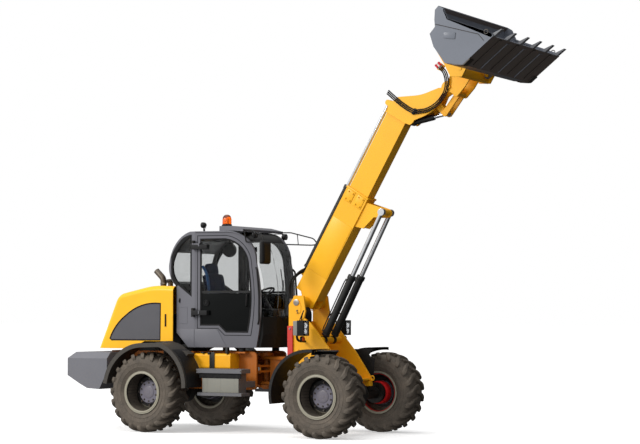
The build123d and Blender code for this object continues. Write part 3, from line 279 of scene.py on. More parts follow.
# Painted shadow: a dark colour for the bar that stands for the shadow gap along each cheek of the bucket.
BUCKET_SHADOW_LINE = paint("bucket_shadow_line", rgb(58, 52, 48), 0.55, dusty=0.2, coat=0.05, dust=SOIL)
STEP = paint("step_paint", rgb(100, 101, 106), 0.5, dusty=0.3, coat=0.1)
FENDER = plastic("fender_plastic", rgb(66, 63, 59), 0.6, dusty=0.25)
BLACK = plastic("black_plastic", rgb(26, 26, 27), 0.5, dusty=0.1)
SOFT_BLACK = plastic("soft_black", rgb(20, 20, 21), 0.7, dusty=0.08)
CHROME = metal("chrome_rod", rgb(205, 207, 210), 0.16, grain=400, depth=0.01)
STEEL = metal("steel", rgb(150, 148, 144), 0.4, stain=rgb(110, 96, 80))
STACK = metal("stack_steel", rgb(98, 92, 84), 0.5, stain=rgb(76, 62, 50))
IRON = metal("worn_iron", rgb(96, 92, 88), 0.55, stain=rgb(78, 62, 50))
TOOTH = paint("tooth_paint", rgb(124, 126, 130), 0.5, dusty=0.2, coat=0.1)
TYRE = rubber("tyre_rubber", rgb(70, 65, 59), rgb(118, 107, 95), 0.8)
GLASS = clear("pane_glass", (0.70, 0.71, 0.71, 1), ior=1.2)
LENS = clear("lens", (0.95, 0.95, 0.95, 1), 0.08)
AMBER = clear("amber_lens", rgb(255, 110, 20), 0.2)
RIM_LIP_COLOUR = rgb(150, 146, 130)
RIM_LIP = paint("rim_lip", RIM_LIP_COLOUR, 0.42, dusty=0.5, coat=0.1)
HUB_COLOUR = rgb(112, 109, 120)
HUB = paint("hub_grey", HUB_COLOUR, 0.45, dusty=0.3, coat=0.1)
GLOSS_BLACK = plastic("gloss_black", rgb(10, 12, 12), 0.16, grain=30, depth=0.01, edge=0.002, dusty=0.0,
    shine=0.1)
GRILLE_PLATE = paint("grille_plate", rgb(92, 92, 98), 0.5, coat=0.05)
GRILLE = paint("grille_wire", rgb(104, 104, 108), 0.5, coat=0.1, edge=0)
LAMP_GREY = plastic("lamp_grey", rgb(130, 130, 124), 0.5)
BOX_GREY = paint("box_grey", rgb(132, 132, 124), 0.5, dusty=0.4, coat=0.1)
LAMP_WHITE = plastic("bulb_white", rgb(235, 232, 220), 0.3, edge=0)
TAIL_RED = plastic("tail_red", rgb(150, 14, 12), 0.2, grain=60, depth=0.05)
INDICATOR = plastic("indicator_orange", rgb(225, 84, 26), 0.25, grain=60, depth=0.05)
COUPLING_RED = plastic("coupling_red", rgb(205, 46, 60), 0.35, edge=0.001)
COUPLING_WHITE = plastic("coupling_white", rgb(222, 218, 216), 0.35, edge=0.001)
MIRROR = metal("mirror_glass", rgb(60, 62, 64), 0.08, grain=20, depth=0.0, edge=0)
SEAT_PIPING = plastic("seat_piping", rgb(14, 22, 44), 0.8, grain=1500, depth=0.2, edge=0)
SEAT_BLUE = plastic("seat_fabric_base", rgb(20, 32, 60), 0.85, grain=1500, depth=0.3)
SEAT_EDGE = plastic("seat_fabric_edge", rgb(44, 84, 132), 0.85, grain=1500, depth=0.3, edge=0)
AXLES = (("front", 1370), ("rear", -1370))
AXLE_Z = 540


def rim_paint(end, x):
    """Rim of one axle: a dark dish, a slate hub, a dusty floor, and red inside the front pair; the rear
    pair's inside keeps the dark dish colour as painted shade.
    """
    def ring(how, radius):
        return lambda n: n.math(how, n.off_axle(x - ORIGIN_X, AXLE_Z / 1000), radius)

    def inboard(n):
        near = n.math("LESS_THAN", n.math("ABSOLUTE", n.axis("Y")), 0.735)
        return n.math("MULTIPLY", near, ring("LESS_THAN", 0.256)(n))

    def dusty_floor(n):
        low = n.node("ShaderNodeMapRange", Value=n.axis("Z"))
        low.inputs["From Min"].default_value = 0.40
        low.inputs["From Max"].default_value = 0.34
        patch = n.math("ADD", n.ramp(n.noise(20, 5, 0.7), 0.3, 0.7), 0.35)
        return n.math("MULTIPLY", n.math("MULTIPLY", ring("GREATER_THAN", 0.200)(n), low.outputs[0]), patch)

    layers = [(HUB_COLOUR, ring("LESS_THAN", 0.160)), (rgb(112, 106, 94), dusty_floor),
              (RIM_LIP_COLOUR, ring("GREATER_THAN", 0.263))]
    # The rear pair gets no red: its inboard faces stay dark as painted shade.
    if end == "front":
        layers.append((rgb(200, 30, 32), inboard))
    return paint(f"rim_paint_{end}", rgb(24, 23, 23), 0.5, dusty=0.03, coat=0.02, second=layers, shine=0.2)


# The rear frame takes the painted-shade orange.
DRESS = {"rear_frame": PAINTED_SHADE_ORANGE, "rear_axle": BLACK_PAINT, "counterweight": WEIGHT, "engine_block": DARK,
    "side_tanks": FRAME_YELLOW, "boarding_steps": STEP, "rear_fenders": FENDER, "cab_floor": DARK,
    "cab_mounts": SOFT_BLACK, "cab_frame": CAB_SLATE, "door_hinges": BLACK_PAINT, "hood_hinges": DARK,
    "cab_nose": BLACK_PAINT, "cab_glass": GLASS, "cab_roof": CAB_SLATE, "roof_lights": BLACK,
    "mirrors": BLACK, "cab_interior": BLACK, "seat_cushion": SEAT_BLUE, "door_right": DOOR_SLATE,
    "door_left": DOOR_SLATE, "door_glass_right": GLASS, "door_glass_left": GLASS, "hood": HOOD_YELLOW,
    "hood_grilles": GRILLE_PLATE, "exhaust": STACK, "front_frame": FRONT_FRAME, "front_axle": BLACK_PAINT,
    "front_fenders": BLACK, "headlamps": BLACK, "lock_bar": RED, "lift_barrels": DARK, "lift_rods": CHROME,
    "outer_boom": YELLOW, "telescope_barrel": DARK, "telescope_rod": CHROME, "inner_boom": YELLOW,
    "tilt_barrel": DARK, "tilt_rod": CHROME, "tilt_rocker": FRAME_YELLOW, "tilt_link": FRAME_YELLOW,
    "coupler": YELLOW, "bucket": BUCKET, "bucket_teeth": TOOTH, "head_hoses": SOFT_BLACK, }
RIMS = {end: rim_paint(end, x / 1000) for end, x in AXLES}
for side in ("left", "right"):
    DRESS[f"steering_barrel_{side}"] = DARK
    DRESS[f"steering_rod_{side}"] = CHROME
    for end in ("front", "rear"):
        DRESS[f"tyre_{end}_{side}"] = TYRE
        DRESS[f"rim_{end}_{side}"] = RIMS[end]
for name, material in DRESS.items():
    for slot in NODES[name].material_slots:
        slot.material = material


# ------------------------------------------------------------------ mesh tools
def P(x, y, z):
    """A place given in millimetres from the steering pivot."""
    return Vector((x / 1000 - ORIGIN_X, y / 1000, z / 1000))


BOOM_LIFT = math.radians(59.5)
COS = math.cos(BOOM_LIFT)
SIN = math.sin(BOOM_LIFT)
BOOM_PIN = (670, 1750)
HEAD_ALONG, HEAD_UNDER = 3479, 469  # the coupler's pin, from the boom's pin in the boom's own axes
HEAD = (BOOM_PIN[0] + HEAD_ALONG * COS + HEAD_UNDER * SIN, BOOM_PIN[1] + HEAD_ALONG * SIN - HEAD_UNDER * COS)


def side_line(hand, *places):
    """Places with Y counted outwards from the middle, on the left or the right."""
    return [P(x, hand * y, z) for x, y, z in places]


def on_boom(s, y, h):
    """A place in the boom's own axes, in millimetres from its pin."""
    return P(BOOM_PIN[0] + s * COS - h * SIN, y, BOOM_PIN[1] + s * SIN + h * COS)


def on_bucket(x, y, z):
    """A place in the bucket's own axes, in millimetres from its pivot."""
    return P(HEAD[0] + x * BUCKET_COS - z * BUCKET_SIN, y, HEAD[1] + x * BUCKET_SIN + z * BUCKET_COS)


def corners_of(x0, z0, x1, z1):
    """The four corners of an upright rectangle, as a loop."""
    return [(x0, z0), (x1, z0), (x1, z1), (x0, z1)]


def finish_mesh(name, bm, body, material, smooth=35, bevel=0.0, segments=2, slot=None):
    """Turns a bmesh into a piece that rides on a body, if one is given."""
    bmesh.ops.recalc_face_normals(bm, faces=bm.faces)
    if bevel:
        sharp = [e for e in bm.edges if len(e.link_faces) == 2 and e.calc_face_angle(0) > 0.5]
        bmesh.ops.bevel(
            bm, geom=sharp, offset=bevel, segments=segments, affect="EDGES", profile=0.6, clamp_overlap=True)
    mesh = bpy.data.meshes.new(name)
    bm.to_mesh(mesh)
    bm.free()
    return place_mesh(name, mesh, body, material, smooth)


def place_mesh(name, mesh, body, material, smooth):
    """Makes an object of a mesh, its edges sharp past an angle."""
    mesh.polygons.foreach_set("use_smooth", [True] * len(mesh.polygons))
    if smooth < 180:
        mesh.set_sharp_from_angle(angle=math.radians(smooth))
    piece = bpy.data.objects.new(name, mesh)
    bpy.context.scene.collection.objects.link(piece)
    mesh.materials.append(material)
    if body:
        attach(piece, body)
    return piece


def add_box(bm, lo, hi, turn=None):
    """Adds a box between two corners to the bmesh, turned by a matrix when given."""
    made = bmesh.ops.create_cube(bm, size=1.0)["verts"]
    centre = (Vector(lo) + Vector(hi)) / 2
    size = Vector(hi) - Vector(lo)
    for v in made:
        v.co = Vector(c * s for c, s in zip(v.co, size))
        v.co = (turn @ v.co if turn else v.co) + centre


def skin(bm, rings, closed=False):
    """Joins each ring to the next with quads, and the last to the first when closed."""
    for a, b in zip(rings, rings[1:] + rings[:1] if closed else rings[1:]):
        for j in range(len(a)):
            i = (j + 1) % len(a)
            bm.faces.new((a[j], a[i], b[i], b[j]))


def add_slab(bm, low, high):
    """Adds the closed form between two like loops of places."""
    low, high = ([bm.verts.new(place) for place in loop] for loop in (low, high))
    bm.faces.new(low)
    bm.faces.new(high[::-1])
    for k in range(len(low)):
        m = (k + 1) % len(low)
        bm.faces.new((low[k], high[k], high[m], low[m]))


def add_prism(bm, corners, depth):
    """Adds a prism: the flat loop of corners and the same loop moved by depth."""
    add_slab(bm, corners, [Vector(c) + Vector(depth) for c in corners])


def frame_on(axis):
    """Two directions square to an axis."""
    axis = Vector(axis).normalized()
    side = axis.orthogonal().normalized()
    return axis, side, axis.cross(side)


def circle(centre, u, v, radius, count):
    """Places round a centre in the plane of two directions."""
    turns = [math.tau * k / count for k in range(count)]
    return [centre + (u * math.cos(a) + v * math.sin(a)) * radius for a in turns]


def add_lathe(bm, origin, axis, profile, steps=32):
    """Adds a turned form: profile is a list of (distance along the axis, radius)."""
    axis, u, v = frame_on(axis)
    rings = []
    for along, radius in profile:
        centre = Vector(origin) + axis * along
        if radius < 1e-6:
            rings.append([bm.verts.new(centre)])
        else:
            rings.append([bm.verts.new(p) for p in circle(centre, u, v, radius, steps)])
    for a, b in zip(rings, rings[1:]):
        for k in range(steps):
            j = (k + 1) % steps
            if len(a) == 1 and len(b) > 1:
                bm.faces.new((a[0], b[k], b[j]))
            elif len(b) == 1 and len(a) > 1:
                bm.faces.new((a[k], a[j], b[0]))
            elif len(a) > 1:
                bm.faces.new((a[k], a[j], b[j], b[k]))


def closed_lathe(bm, origin, axis, profile, steps=32):
    """Adds a turned form whose profile is a closed loop, as of a ring."""
    add_lathe(bm, origin, axis, profile + profile[:1], steps)


def add_bolt(bm, place, axis, size):
    """A hex head on its washer. Size is the width of the washer."""
    axis = Vector(axis).normalized()
    r = size / 2
    add_lathe(bm, place, axis, [(0, 0), (0, r), (size * 0.12, r), (size * 0.12, 0)], 14)
    add_lathe(bm, Vector(place) + axis * size * 0.12, axis,
              [(0, r * 0.8), (size * 0.3, r * 0.8), (size * 0.38, r * 0.68), (size * 0.38, 0)], 6)


def bolts(name, rows, body, material):
    """One piece of many bolts: rows of (place, axis, size)."""
    bm = bmesh.new()
    for place, axis, size in rows:
        add_bolt(bm, place, axis, size)
    return finish_mesh(name, bm, body, material)


def add_tube(bm, points, radius, steps=10, closed=False):
    """Adds a round bar along the points."""
    points = [Vector(p) for p in points]
    count = len(points)
    rings = []
    u = None
    for k, p in enumerate(points):
        a = points[(k - 1) % count] if closed or k else p
        b = points[(k + 1) % count] if closed or k < count - 1 else p
        along = (b - a).normalized()
        u = along.orthogonal().normalized() if u is None else (u - along * u.dot(along)).normalized()
        v = along.cross(u)
        rings.append([bm.verts.new(place) for place in circle(p, u, v, radius, steps)])
    skin(bm, rings, closed)
    if not closed:
        bm.faces.new(rings[0][::-1])
        bm.faces.new(rings[-1])


def rounded(points, radius, steps=5):
    """The points with each corner rounded by an arc of about the radius."""
    points = [Vector(p) for p in points]
    made = points[:1]
    for before, p, after in zip(points, points[1:], points[2:]):
        a, b = before - p, after - p
        cut = min(radius, a.length * 0.48, b.length * 0.48)
        start, end = p + a.normalized() * cut, p + b.normalized() * cut
        for j in range(steps + 1):
            t = j / steps
            made.append(start * (1 - t) ** 2 + p * 2 * t * (1 - t) + end * t * t)
    return made + points[-1:]


def one_form(add):
    """The function that makes a piece of a single form, from what the add function takes."""
    def make(name, body, material, *form, **finish):
        bm = bmesh.new()
        add(bm, *form)
        return finish_mesh(name, bm, body, material, **finish)
    return make


turned, turned_ring, block = map(one_form, (add_lathe, closed_lathe, add_box))
prism, slab, bar = map(one_form, (add_prism, add_slab, add_tube))


def pipe(name, points, radius, body, material, bend=0.05):
    """A round bar with rounded bends."""
    return bar(name, body, material, rounded(points, bend), radius, smooth=60)


# ------------------------------------------------------------------ wheels
TYRE_R = 0.540
HUB_Y = 813.5
# radius, distance from the middle: from the bead over the shoulder to the crown
SIDEWALL = [
    (0.264, 0.150), (0.272, 0.158), (0.289, 0.166), (0.296, 0.172), (0.300, 0.170), (0.318, 0.181),
    (0.340, 0.191), (0.343, 0.195), (0.349, 0.195), (0.352, 0.192), (0.376, 0.197), (0.396, 0.199),
    (0.399, 0.202), (0.405, 0.202), (0.408, 0.199), (0.430, 0.198), (0.452, 0.194), (0.470, 0.187),
    (0.484, 0.176), (0.495, 0.158), (0.501, 0.130), (0.505, 0.080), (0.506, 0.0)]
# distance from the middle, lead along the tread, half width at the top, top radius, foot radius
LUG = [
    (-0.016, -0.012, 0.019, 0.5385, 0.499), (0.030, 0.000, 0.0215, 0.5395, 0.499),
    (0.080, 0.022, 0.0225, 0.5390, 0.498), (0.128, 0.052, 0.0235, 0.5375, 0.494),
    (0.160, 0.079, 0.0250, 0.5335, 0.488), (0.182, 0.099, 0.0265, 0.5230, 0.474),
    (0.198, 0.112, 0.0265, 0.5060, 0.462), (0.2065, 0.119, 0.0245, 0.4860, 0.452),
    (0.2075, 0.122, 0.0200, 0.4700, 0.446)]
LUGS = 20  # in each of the two rows


def tyre_mesh():
    """Carcass with raised sidewall rings and two rows of lugs that run over the shoulder."""
    bm = bmesh.new()
    profile = [(y, r) for r, y in SIDEWALL] + [(-y, r) for r, y in SIDEWALL[-2::-1]]
    profile += [(-0.150, 0.250), (0.150, 0.250)]
    closed_lathe(bm, (0, 0, 0), (0, 1, 0), profile, 80)
    for hand, lag in ((1, 0.0), (-1, 0.5)):
        for k in range(LUGS):
            turn = math.tau * (k + lag) / LUGS
            rows = []
            for index, (y, lead, half, top, foot) in enumerate(LUG):
                flare = 1.28 if 0 < index < 6 else 1.12
                ring = [(foot, half * flare + 0.003), (top - 0.004, half + 0.001), (top, half - 0.003)]
                loop = [(r, -w) for r, w in ring] + [(r, w) for r, w in ring[::-1]]
                inward = 0.012 if index > 6 else 0.0
                row = []
                for n, (r, w) in enumerate(loop):
                    a = turn + (lead + w) / TYRE_R
                    deep = inward if n in (0, 5) else 0.0
                    row.append(bm.verts.new((r * math.sin(a), hand * (y - deep), r * math.cos(a))))
                rows.append(row)
            skin(bm, rows)
            bm.faces.new(rows[0])
            bm.faces.new(rows[-1][::-1])
    bmesh.ops.recalc_face_normals(bm, faces=bm.faces)
    mesh = bpy.data.meshes.new("tyre_mesh")
    bm.to_mesh(mesh)
    bm.free()
    return mesh


def wheel_parts():
    """Tyres in place of the CAD ones, bolts, hub caps, rim lips and valves."""
    mesh = tyre_mesh()
    for side, hand in SIDES[::-1]:
        for end, x in AXLES:
            body = f"wheel_{end}_{side}"
            centre = P(x, hand * HUB_Y, AXLE_Z)
            own = mesh.copy()
            own.transform(Matrix.Translation(centre))
            piece = place_mesh(f"tread_{end}_{side}", own, body, TYRE, 28)
            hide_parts(f"tyre_{end}_{side}")
            out = Vector((0, hand, 0))
            for kind, count, shift, away, r, size in (("hub_bolts", 10, 0.5, 0.0155, 0.124, 0.026),
                    ("wheel_nuts", 8, 0, -0.0155, 0.178, 0.036)):
                turns = [math.tau * (k + shift) / count for k in range(count)]
                rows = [(centre + out * away + Vector((math.cos(a) * r, 0, math.sin(a) * r)), out, size)
                        for a in turns]
                bolts(f"{kind}_{end}_{side}", rows, body, IRON)
            turned(f"hub_cap_{end}_{side}", body, HUB, centre + out * 0.0158, out,
                [(0, 0.086), (0.004, 0.084), (0.008, 0.076), (0.009, 0.03), (0.012, 0.026), (0.012, 0)], 40)
            turned_ring(f"rim_lip_{end}_{side}", body, RIM_LIP, centre + out * 0.1786, out,
                [(-0.010, 0.252), (0.002, 0.2505), (0.006, 0.256), (0.004, 0.270), (0.000, 0.2795),
                (-0.006, 0.284), (-0.008, 0.270)], 72, smooth=60)
            foot = centre + Vector((0.215, hand * 0.02, 0.05))
            stem = [foot, foot + out * 0.03, foot + out * 0.045 + Vector((0.008, 0, 0))]
            bar(f"valve_{end}_{side}", body, SOFT_BLACK, stem, 0.005, 8)


# ------------------------------------------------------------------ cab
def arc(a, via, b, count=8):
    """Points on the circle through three places in a plane, without the first."""
    (ax, az), (vx, vz), (bx, bz) = a, via, b
    d = 2 * (ax * (vz - bz) + vx * (bz - az) + bx * (az - vz))
    ux = ((ax**2 + az**2) * (vz - bz) + (vx**2 + vz**2) * (bz - az) + (bx**2 + bz**2) * (az - vz)) / d
    uz = ((ax**2 + az**2) * (bx - vx) + (vx**2 + vz**2) * (ax - bx) + (bx**2 + bz**2) * (vx - ax)) / d
    r = math.hypot(ax - ux, az - uz)
    t0, tv, t1 = (math.atan2(z - uz, x - ux) for x, z in (a, via, b))
    turn = (t1 - t0) % math.tau
    if (tv - t0) % math.tau > turn:
        turn -= math.tau
    return [(ux + r * math.cos(t0 + turn * k / count), uz + r * math.sin(t0 + turn * k / count))
        for k in range(1, count + 1)]


def path(*steps):
    """A loop of X-Z places from corners and (via, end) arcs."""
    made = [steps[0]]
    for step in steps[1:]:
        if isinstance(step[0], tuple):
            made += arc(made[-1], *step)
        else:
            made.append(step)
    return made


FRONT_WALL_OUT = (0.1883, 0.9821)  # the wall's direction outwards in X and in Y
REAR_WALL_OUT = (-0.162, 0.987)


def front_wall(hand, x, z, out):
    """A place on the cab's front side wall, out millimetres proud of it."""
    y = 615 - 175 / 913 * (x + 770)
    return P(x + FRONT_WALL_OUT[0] * out, hand * (y + FRONT_WALL_OUT[1] * out), z)


def rear_wall(hand, x, z, out):
    """A place on the cab's rear quarter wall, out millimetres proud of it."""
    y = 560 + 55 / 335 * (x + 1105)
    return P(x + REAR_WALL_OUT[0] * out, hand * (y + REAR_WALL_OUT[1] * out), z)


def door_loop(i):
    """The door's outline, drawn in by i millimetres."""
    return path((-724 + i, 1407 + i), (-430 + i * 0.4, 1407 + i), (-334 + i * 0.4, 1315 + i),
        (32 - i, 1312 + i), ((79 - i, 1760), (45 - i, 2224)),
        ((-50 - i * 0.8, 2500 - i * 0.6), (-330, 2650 - i)), (-724 + i, 2650 - i))


def quarter_loop(i):
    """The rear side window's outline, let out by i millimetres."""
    return path(
        (-835 - i, 1850 + i), (-835 - i, 2655 - i), ((-1075 + i, 2500 - i), (-1190 + i, 2300)),
        ((-1183 + i, 2160), (-1118 + i, 2048)), (-1072 + i, 1998 + i / 2))


def strip(name, loop, place, out, width, thick, body, material):
    """A flat band that follows a closed loop on a wall, such as a window rubber."""
    bm = bmesh.new()
    count = len(loop)
    rings = []
    for k in range(count):
        (ax, az), (bx, bz), (cx, cz) = loop[k - 1], loop[k], loop[(k + 1) % count]
        d1 = Vector((bx - ax, bz - az)).normalized()
        d2 = Vector((cx - bx, cz - bz)).normalized()
        n1, n2 = Vector((-d1.y, d1.x)), Vector((-d2.y, d2.x))
        n = (n1 + n2).normalized()
        n = n / max(0.5, n.dot(n1))
        rows = []
        for across, lift in ((-width / 2, 0), (-width / 2 + 2, thick), (width / 2 - 2, thick),
                (width / 2, 0)):
            rows.append(bm.verts.new(place(bx + n.x * across, bz + n.y * across, out + lift)))
        rings.append(rows)
    skin(bm, rings, True)
    return finish_mesh(name, bm, body, material, 40)


def plate_on(name, loop, place, out, thick, body, material, bevel=0.0015):
    """A plate cut to a loop and laid on a wall."""
    low, high = ([place(x, z, level) for x, z in loop] for level in (out, out + thick))
    return slab(name, body, material, low, high, smooth=30, bevel=bevel)


def cab_walls():
    """Window rubbers, door skins, locks, pulls, hinge covers, hatches, skirts and rails."""
    for side, hand in SIDES:
        front, back = partial(front_wall, hand), partial(rear_wall, hand)
        body = f"door_{side}"
        strip(f"door_rubber_{side}", door_loop(44), front, -6, 26, 7.5, body, SOFT_BLACK)
        strip(f"door_gasket_{side}", door_loop(-4), front, -14, 9, 11, "chassis", SOFT_BLACK)
        lower = [(x, z) for x, z in door_loop(50) if z < 1880] + [(20, 1876), (-674, 1876)]
        lower.sort(key=lambda q: math.atan2(q[1] - 1600, q[0] + 330))
        plate_on(f"door_skin_{side}", lower, front, -11.5, 6, body, GLOSS_BLACK, 0.003)
        strip(f"quarter_rubber_{side}", quarter_loop(2), back, -9, 30, 10, "chassis", SOFT_BLACK)
        strip(f"quarter_hatch_{side}", corners_of(-1075, 1470, -905, 1690), back, -1, 7, 4, "chassis", SLATE)
        latch = [(-1060, 1770), (-1035, 1745), (-1030, 1800), (-1040, 1815)]
        plate_on(f"quarter_latch_{side}", latch, back, 0, 12, "chassis", SOFT_BLACK, 0.003)
        ahead = [(-768, 1150), (-300, 1150), (-352, 1230), (-430, 1372), (-452, 1392), (-768, 1392)]
        behind = [(-880, 1150), (-772, 1150), (-772, 1392), (-1098, 1392), (-1100, 1352)]
        for end, skirt, wall in (("front", ahead, front), ("rear", behind, back)):
            plate_on(f"skirt_{end}_{side}", skirt, wall, 0.2, 5, "chassis", SLATE, 0.002)
        # the lock: a ring with a lever across it
        centre = front(-600, 1745, -4)
        out = Vector((FRONT_WALL_OUT[0], hand * FRONT_WALL_OUT[1], 0))
        bm = bmesh.new()
        closed_lathe(bm, centre, out, [(0, 0.030), (0.010, 0.031), (0.014, 0.036), (0.010, 0.042),
            (0, 0.043)], 32)
        add_lathe(bm, centre, out, [(0, 0.028), (0.006, 0.027), (0.006, 0)], 24)
        lever, half = centre + out * 0.012, Vector((0.004, 0.004, 0.030))
        add_box(bm, lever - half, lever + half, Matrix.Rotation(0.7, 4, "Y"))
        finish_mesh(f"door_lock_{side}", bm, body, BLACK)
        pull = [front(-15, 1700, -2), front(-15, 1700, 42), front(-8, 1860, 42), front(-8, 1860, -2)]
        pipe(f"door_pull_{side}", pull, 0.009, body, BLACK, 0.02)
        for z in (1610, 2500):
            foot = [P(x, hand * y, z - 32) for x, y in ((-800, 622), (-788, 676), (-560, 634), (-548, 582))]
            prism(f"hinge_cover_{side}_{z}", body, BLACK, foot, (0, 0, 0.066), smooth=30, bevel=0.008,
                segments=3)
        rail = side_line(hand, (150, 462, 1460), (175, 478, 1500), (182, 484, 1850), (150, 486, 2180),
            (118, 462, 2215))
        pipe(f"grab_rail_{side}", rail, 0.013, "chassis", BLACK, 0.06)
        over = path((160, 1900), ((150, 2080), (108, 2290)), ((15, 2560), (-320, 2706)), (-760, 2708))
        gutter = [front(x, z, 4) for x, z in over]
        bar(f"drip_rail_{side}", "chassis", SLATE, gutter, 0.009, 8, smooth=60)


def beacon():
    """Base, ribbed lens and bulb, in place of the plain roof lights."""
    base = P(-370, -430, 2784.3)
    beacon_base = turned("beacon_base", "chassis", SOFT_BLACK, base, UP,
        [(0, 0.070), (0.012, 0.070), (0.016, 0.066), (0.024, 0.064), (0.028, 0.060), (0.028, 0)], 40)
    bm = bmesh.new()
    steps = 64
    rings = []
    for along, radius in (
            (0.028, 0.058), (0.034, 0.061), (0.060, 0.0605), (0.095, 0.0600), (0.120, 0.055), (0.138, 0.045),
            (0.150, 0.030), (0.1555, 0.012), (0.1565, 0.0)):
        ring = []
        for k in range(steps):
            rib = 0.0012 if k % 2 and 0.03 < along < 0.118 else 0.0
            a = math.tau * k / steps
            ring.append(
                bm.verts.new(base + Vector(((radius + rib) * math.cos(a), (radius + rib) * math.sin(a),
                along))))
        rings.append(ring)
    skin(bm, rings)
    bm.faces.new(rings[0][::-1])
    bmesh.ops.remove_doubles(bm, verts=bm.verts, dist=0.0004)
    finish_mesh("beacon_lens", bm, "chassis", AMBER, 40, slot="lamp")
    turned("beacon_bulb", "chassis", LAMP_WHITE, base + Vector((0, 0, 0.03)), UP,
        [(0, 0.02), (0.07, 0.018), (0.075, 0.01), (0.075, 0)], 20)
    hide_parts("roof_lights")


def roof_lamps():
    """The visor's two work lamps, the rear lamp on its stem and the aerial's hook."""
    for side, hand in SIDES:
        centre = P(40, hand * 385, 2656)
        bm = bmesh.new()
        add_lathe(bm, centre + Vector((-0.035, 0, 0)), (1, 0, 0), [(0, 0.0), (0, 0.022), (0.012, 0.030),
            (0.022, 0.040), (0.055, 0.042), (0.062, 0.044), (0.066, 0.042), (0.066, 0.037), (0.058, 0.036),
            (0.056, 0)], 32)
        add_box(bm, centre + Vector((-0.165, -0.018, 0.038)), centre + Vector((0.0, 0.018, 0.044)))
        finish_mesh(f"work_lamp_{side}", bm, "chassis", BLACK)
        turned(f"work_lamp_lens_{side}", "chassis", LENS, centre + Vector((0.021, 0, 0)), (1, 0, 0),
            [(0, 0.0), (0, 0.036), (0.004, 0.036), (0.009, 0.022), (0.0105, 0)], 32, slot="lamp")
        turned(f"work_lamp_bowl_{side}", "chassis", CHROME, centre + Vector((0.0205, 0, 0)), (1, 0, 0),
            [(0, 0.0355), (-0.014, 0.024), (-0.02, 0.006), (-0.006, 0.005), (-0.004, 0)], 32)
    stem = P(-835, -300, 2715.3)
    bm = bmesh.new()
    add_lathe(bm, stem, UP, [(0, 0.022), (0.006, 0.022), (0.010, 0.010), (0.072, 0.010)], 16)
    centre = stem + Vector((0, 0, 0.100))
    add_lathe(bm, centre + Vector((0.030, 0, 0)), (-1, 0, 0), [(0, 0), (0, 0.024), (0.016, 0.036),
        (0.040, 0.0400), (0.058, 0.0400), (0.062, 0.037), (0.060, 0.033), (0.056, 0.033), (0.056, 0)], 32)
    finish_mesh("rear_lamp", bm, "chassis", BLACK)
    turned("rear_lamp_lens", "chassis", LENS, centre + Vector((-0.027, 0, 0)), (-1, 0, 0),
        [(0, 0.0325), (0.004, 0.0320), (0.0075, 0.018), (0.0085, 0)], 28, slot="lamp")
    bm = bmesh.new()
    hook = [P(x, -330, z) for x, z in ((-800, 2716), (-800, 2752), (-812, 2770), (-794, 2782), (-782, 2770))]
    add_tube(bm, rounded(hook, 0.012), 0.006, 8)
    add_lathe(bm, P(-800, -330, 2715.2), UP, [(0, 0.020), (0.006, 0.020), (0.014, 0.012), (0.014, 0)], 16)
    finish_mesh("aerial_hook", bm, "chassis", BLACK)


def mirrors():
    """Each mirror on its bent arm, in place of the plain ones."""
    for side, hand in SIDES:
        middle = P(412, hand * 702, 2408)
        tip = P(392, hand * 700, 2560)
        arm = [P(-56, hand * 480, 2722), P(60, hand * 520, 2722), P(340, hand * 668, 2640), tip]
        arm += side_line(hand, (320, 662, 2548), (-20, 497, 2560), (-52, 482, 2700))
        pipe(f"mirror_arm_{side}", arm, 0.0085, "chassis", BLACK, 0.03)
        brace = side_line(hand, (140, 566, 2698), (150, 576, 2553))
        pipe(f"mirror_brace_{side}", brace, 0.006, "chassis", BLACK, 0.01)
        stem = [tip + Vector((-0.004, 0, 0.01)), P(412, hand * 702, 2480), middle]
        pipe(f"mirror_stem_{side}", stem, 0.008, "chassis", BLACK, 0.02)
        bm = bmesh.new()
        outline = []
        for cx, cz, a0 in ((-0.082, -0.130, 180), (0.082, -0.130, 270), (0.082, 0.130, 0),
                (-0.082, 0.130, 90)):
            for k in range(7):
                a = math.radians(a0 + 15 * k)
                outline.append((cx + 0.024 * math.cos(a), cz + 0.024 * math.sin(a)))
        rings = []
        for depth, shrink in ((-0.022, 0.96), (-0.018, 1.0), (0.008, 1.0), (0.030, 0.9), (0.040, 0.6)):
            rings.append([bm.verts.new(middle + Vector((depth, u * shrink, w * shrink))) for u, w in outline])
        skin(bm, rings)
        bm.faces.new(rings[0])
        bm.faces.new(rings[-1][::-1])
        head = finish_mesh(f"mirror_head_{side}", bm, "chassis", BLACK, 50)
        bm = bmesh.new()
        bm.faces.new([bm.verts.new(middle + Vector((-0.0226, u * 0.88, w * 0.93))) for u, w in outline])
        finish_mesh(f"mirror_glass_{side}", bm, "chassis", MIRROR)
        if side == "right":
            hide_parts("mirrors")


# ------------------------------------------------------------------ inside the cab
CAB_FLOOR = 1186


def swell(piece, pressure, cap, quality=20):
    """Blows a closed form up softly as cloth, and keeps how far a point moved under the cap."""
    before = [v.co.copy() for v in piece.data.vertices]
    piece.select_set(True)
    bpy.context.view_layer.objects.active = piece
    cloth = piece.modifiers.new("Cloth", "CLOTH")
    cloth.settings.use_pressure = True
    cloth.settings.uniform_pressure_force = pressure
    cloth.settings.effector_weights.gravity = 0
    cloth.settings.tension_stiffness = 30
    cloth.settings.bending_stiffness = 2
    scene = bpy.context.scene
    for f in range(1, quality + 1):
        scene.frame_set(f)
    graph = bpy.context.evaluated_depsgraph_get()
    moved = [v.co.copy() for v in piece.evaluated_get(graph).data.vertices]
    piece.modifiers.clear()
    scene.frame_set(1)
    for v, a, b in zip(piece.data.vertices, before, moved):
        step = b - a
        if step.length > cap:
            step = step.normalized() * cap
        v.co = a + step


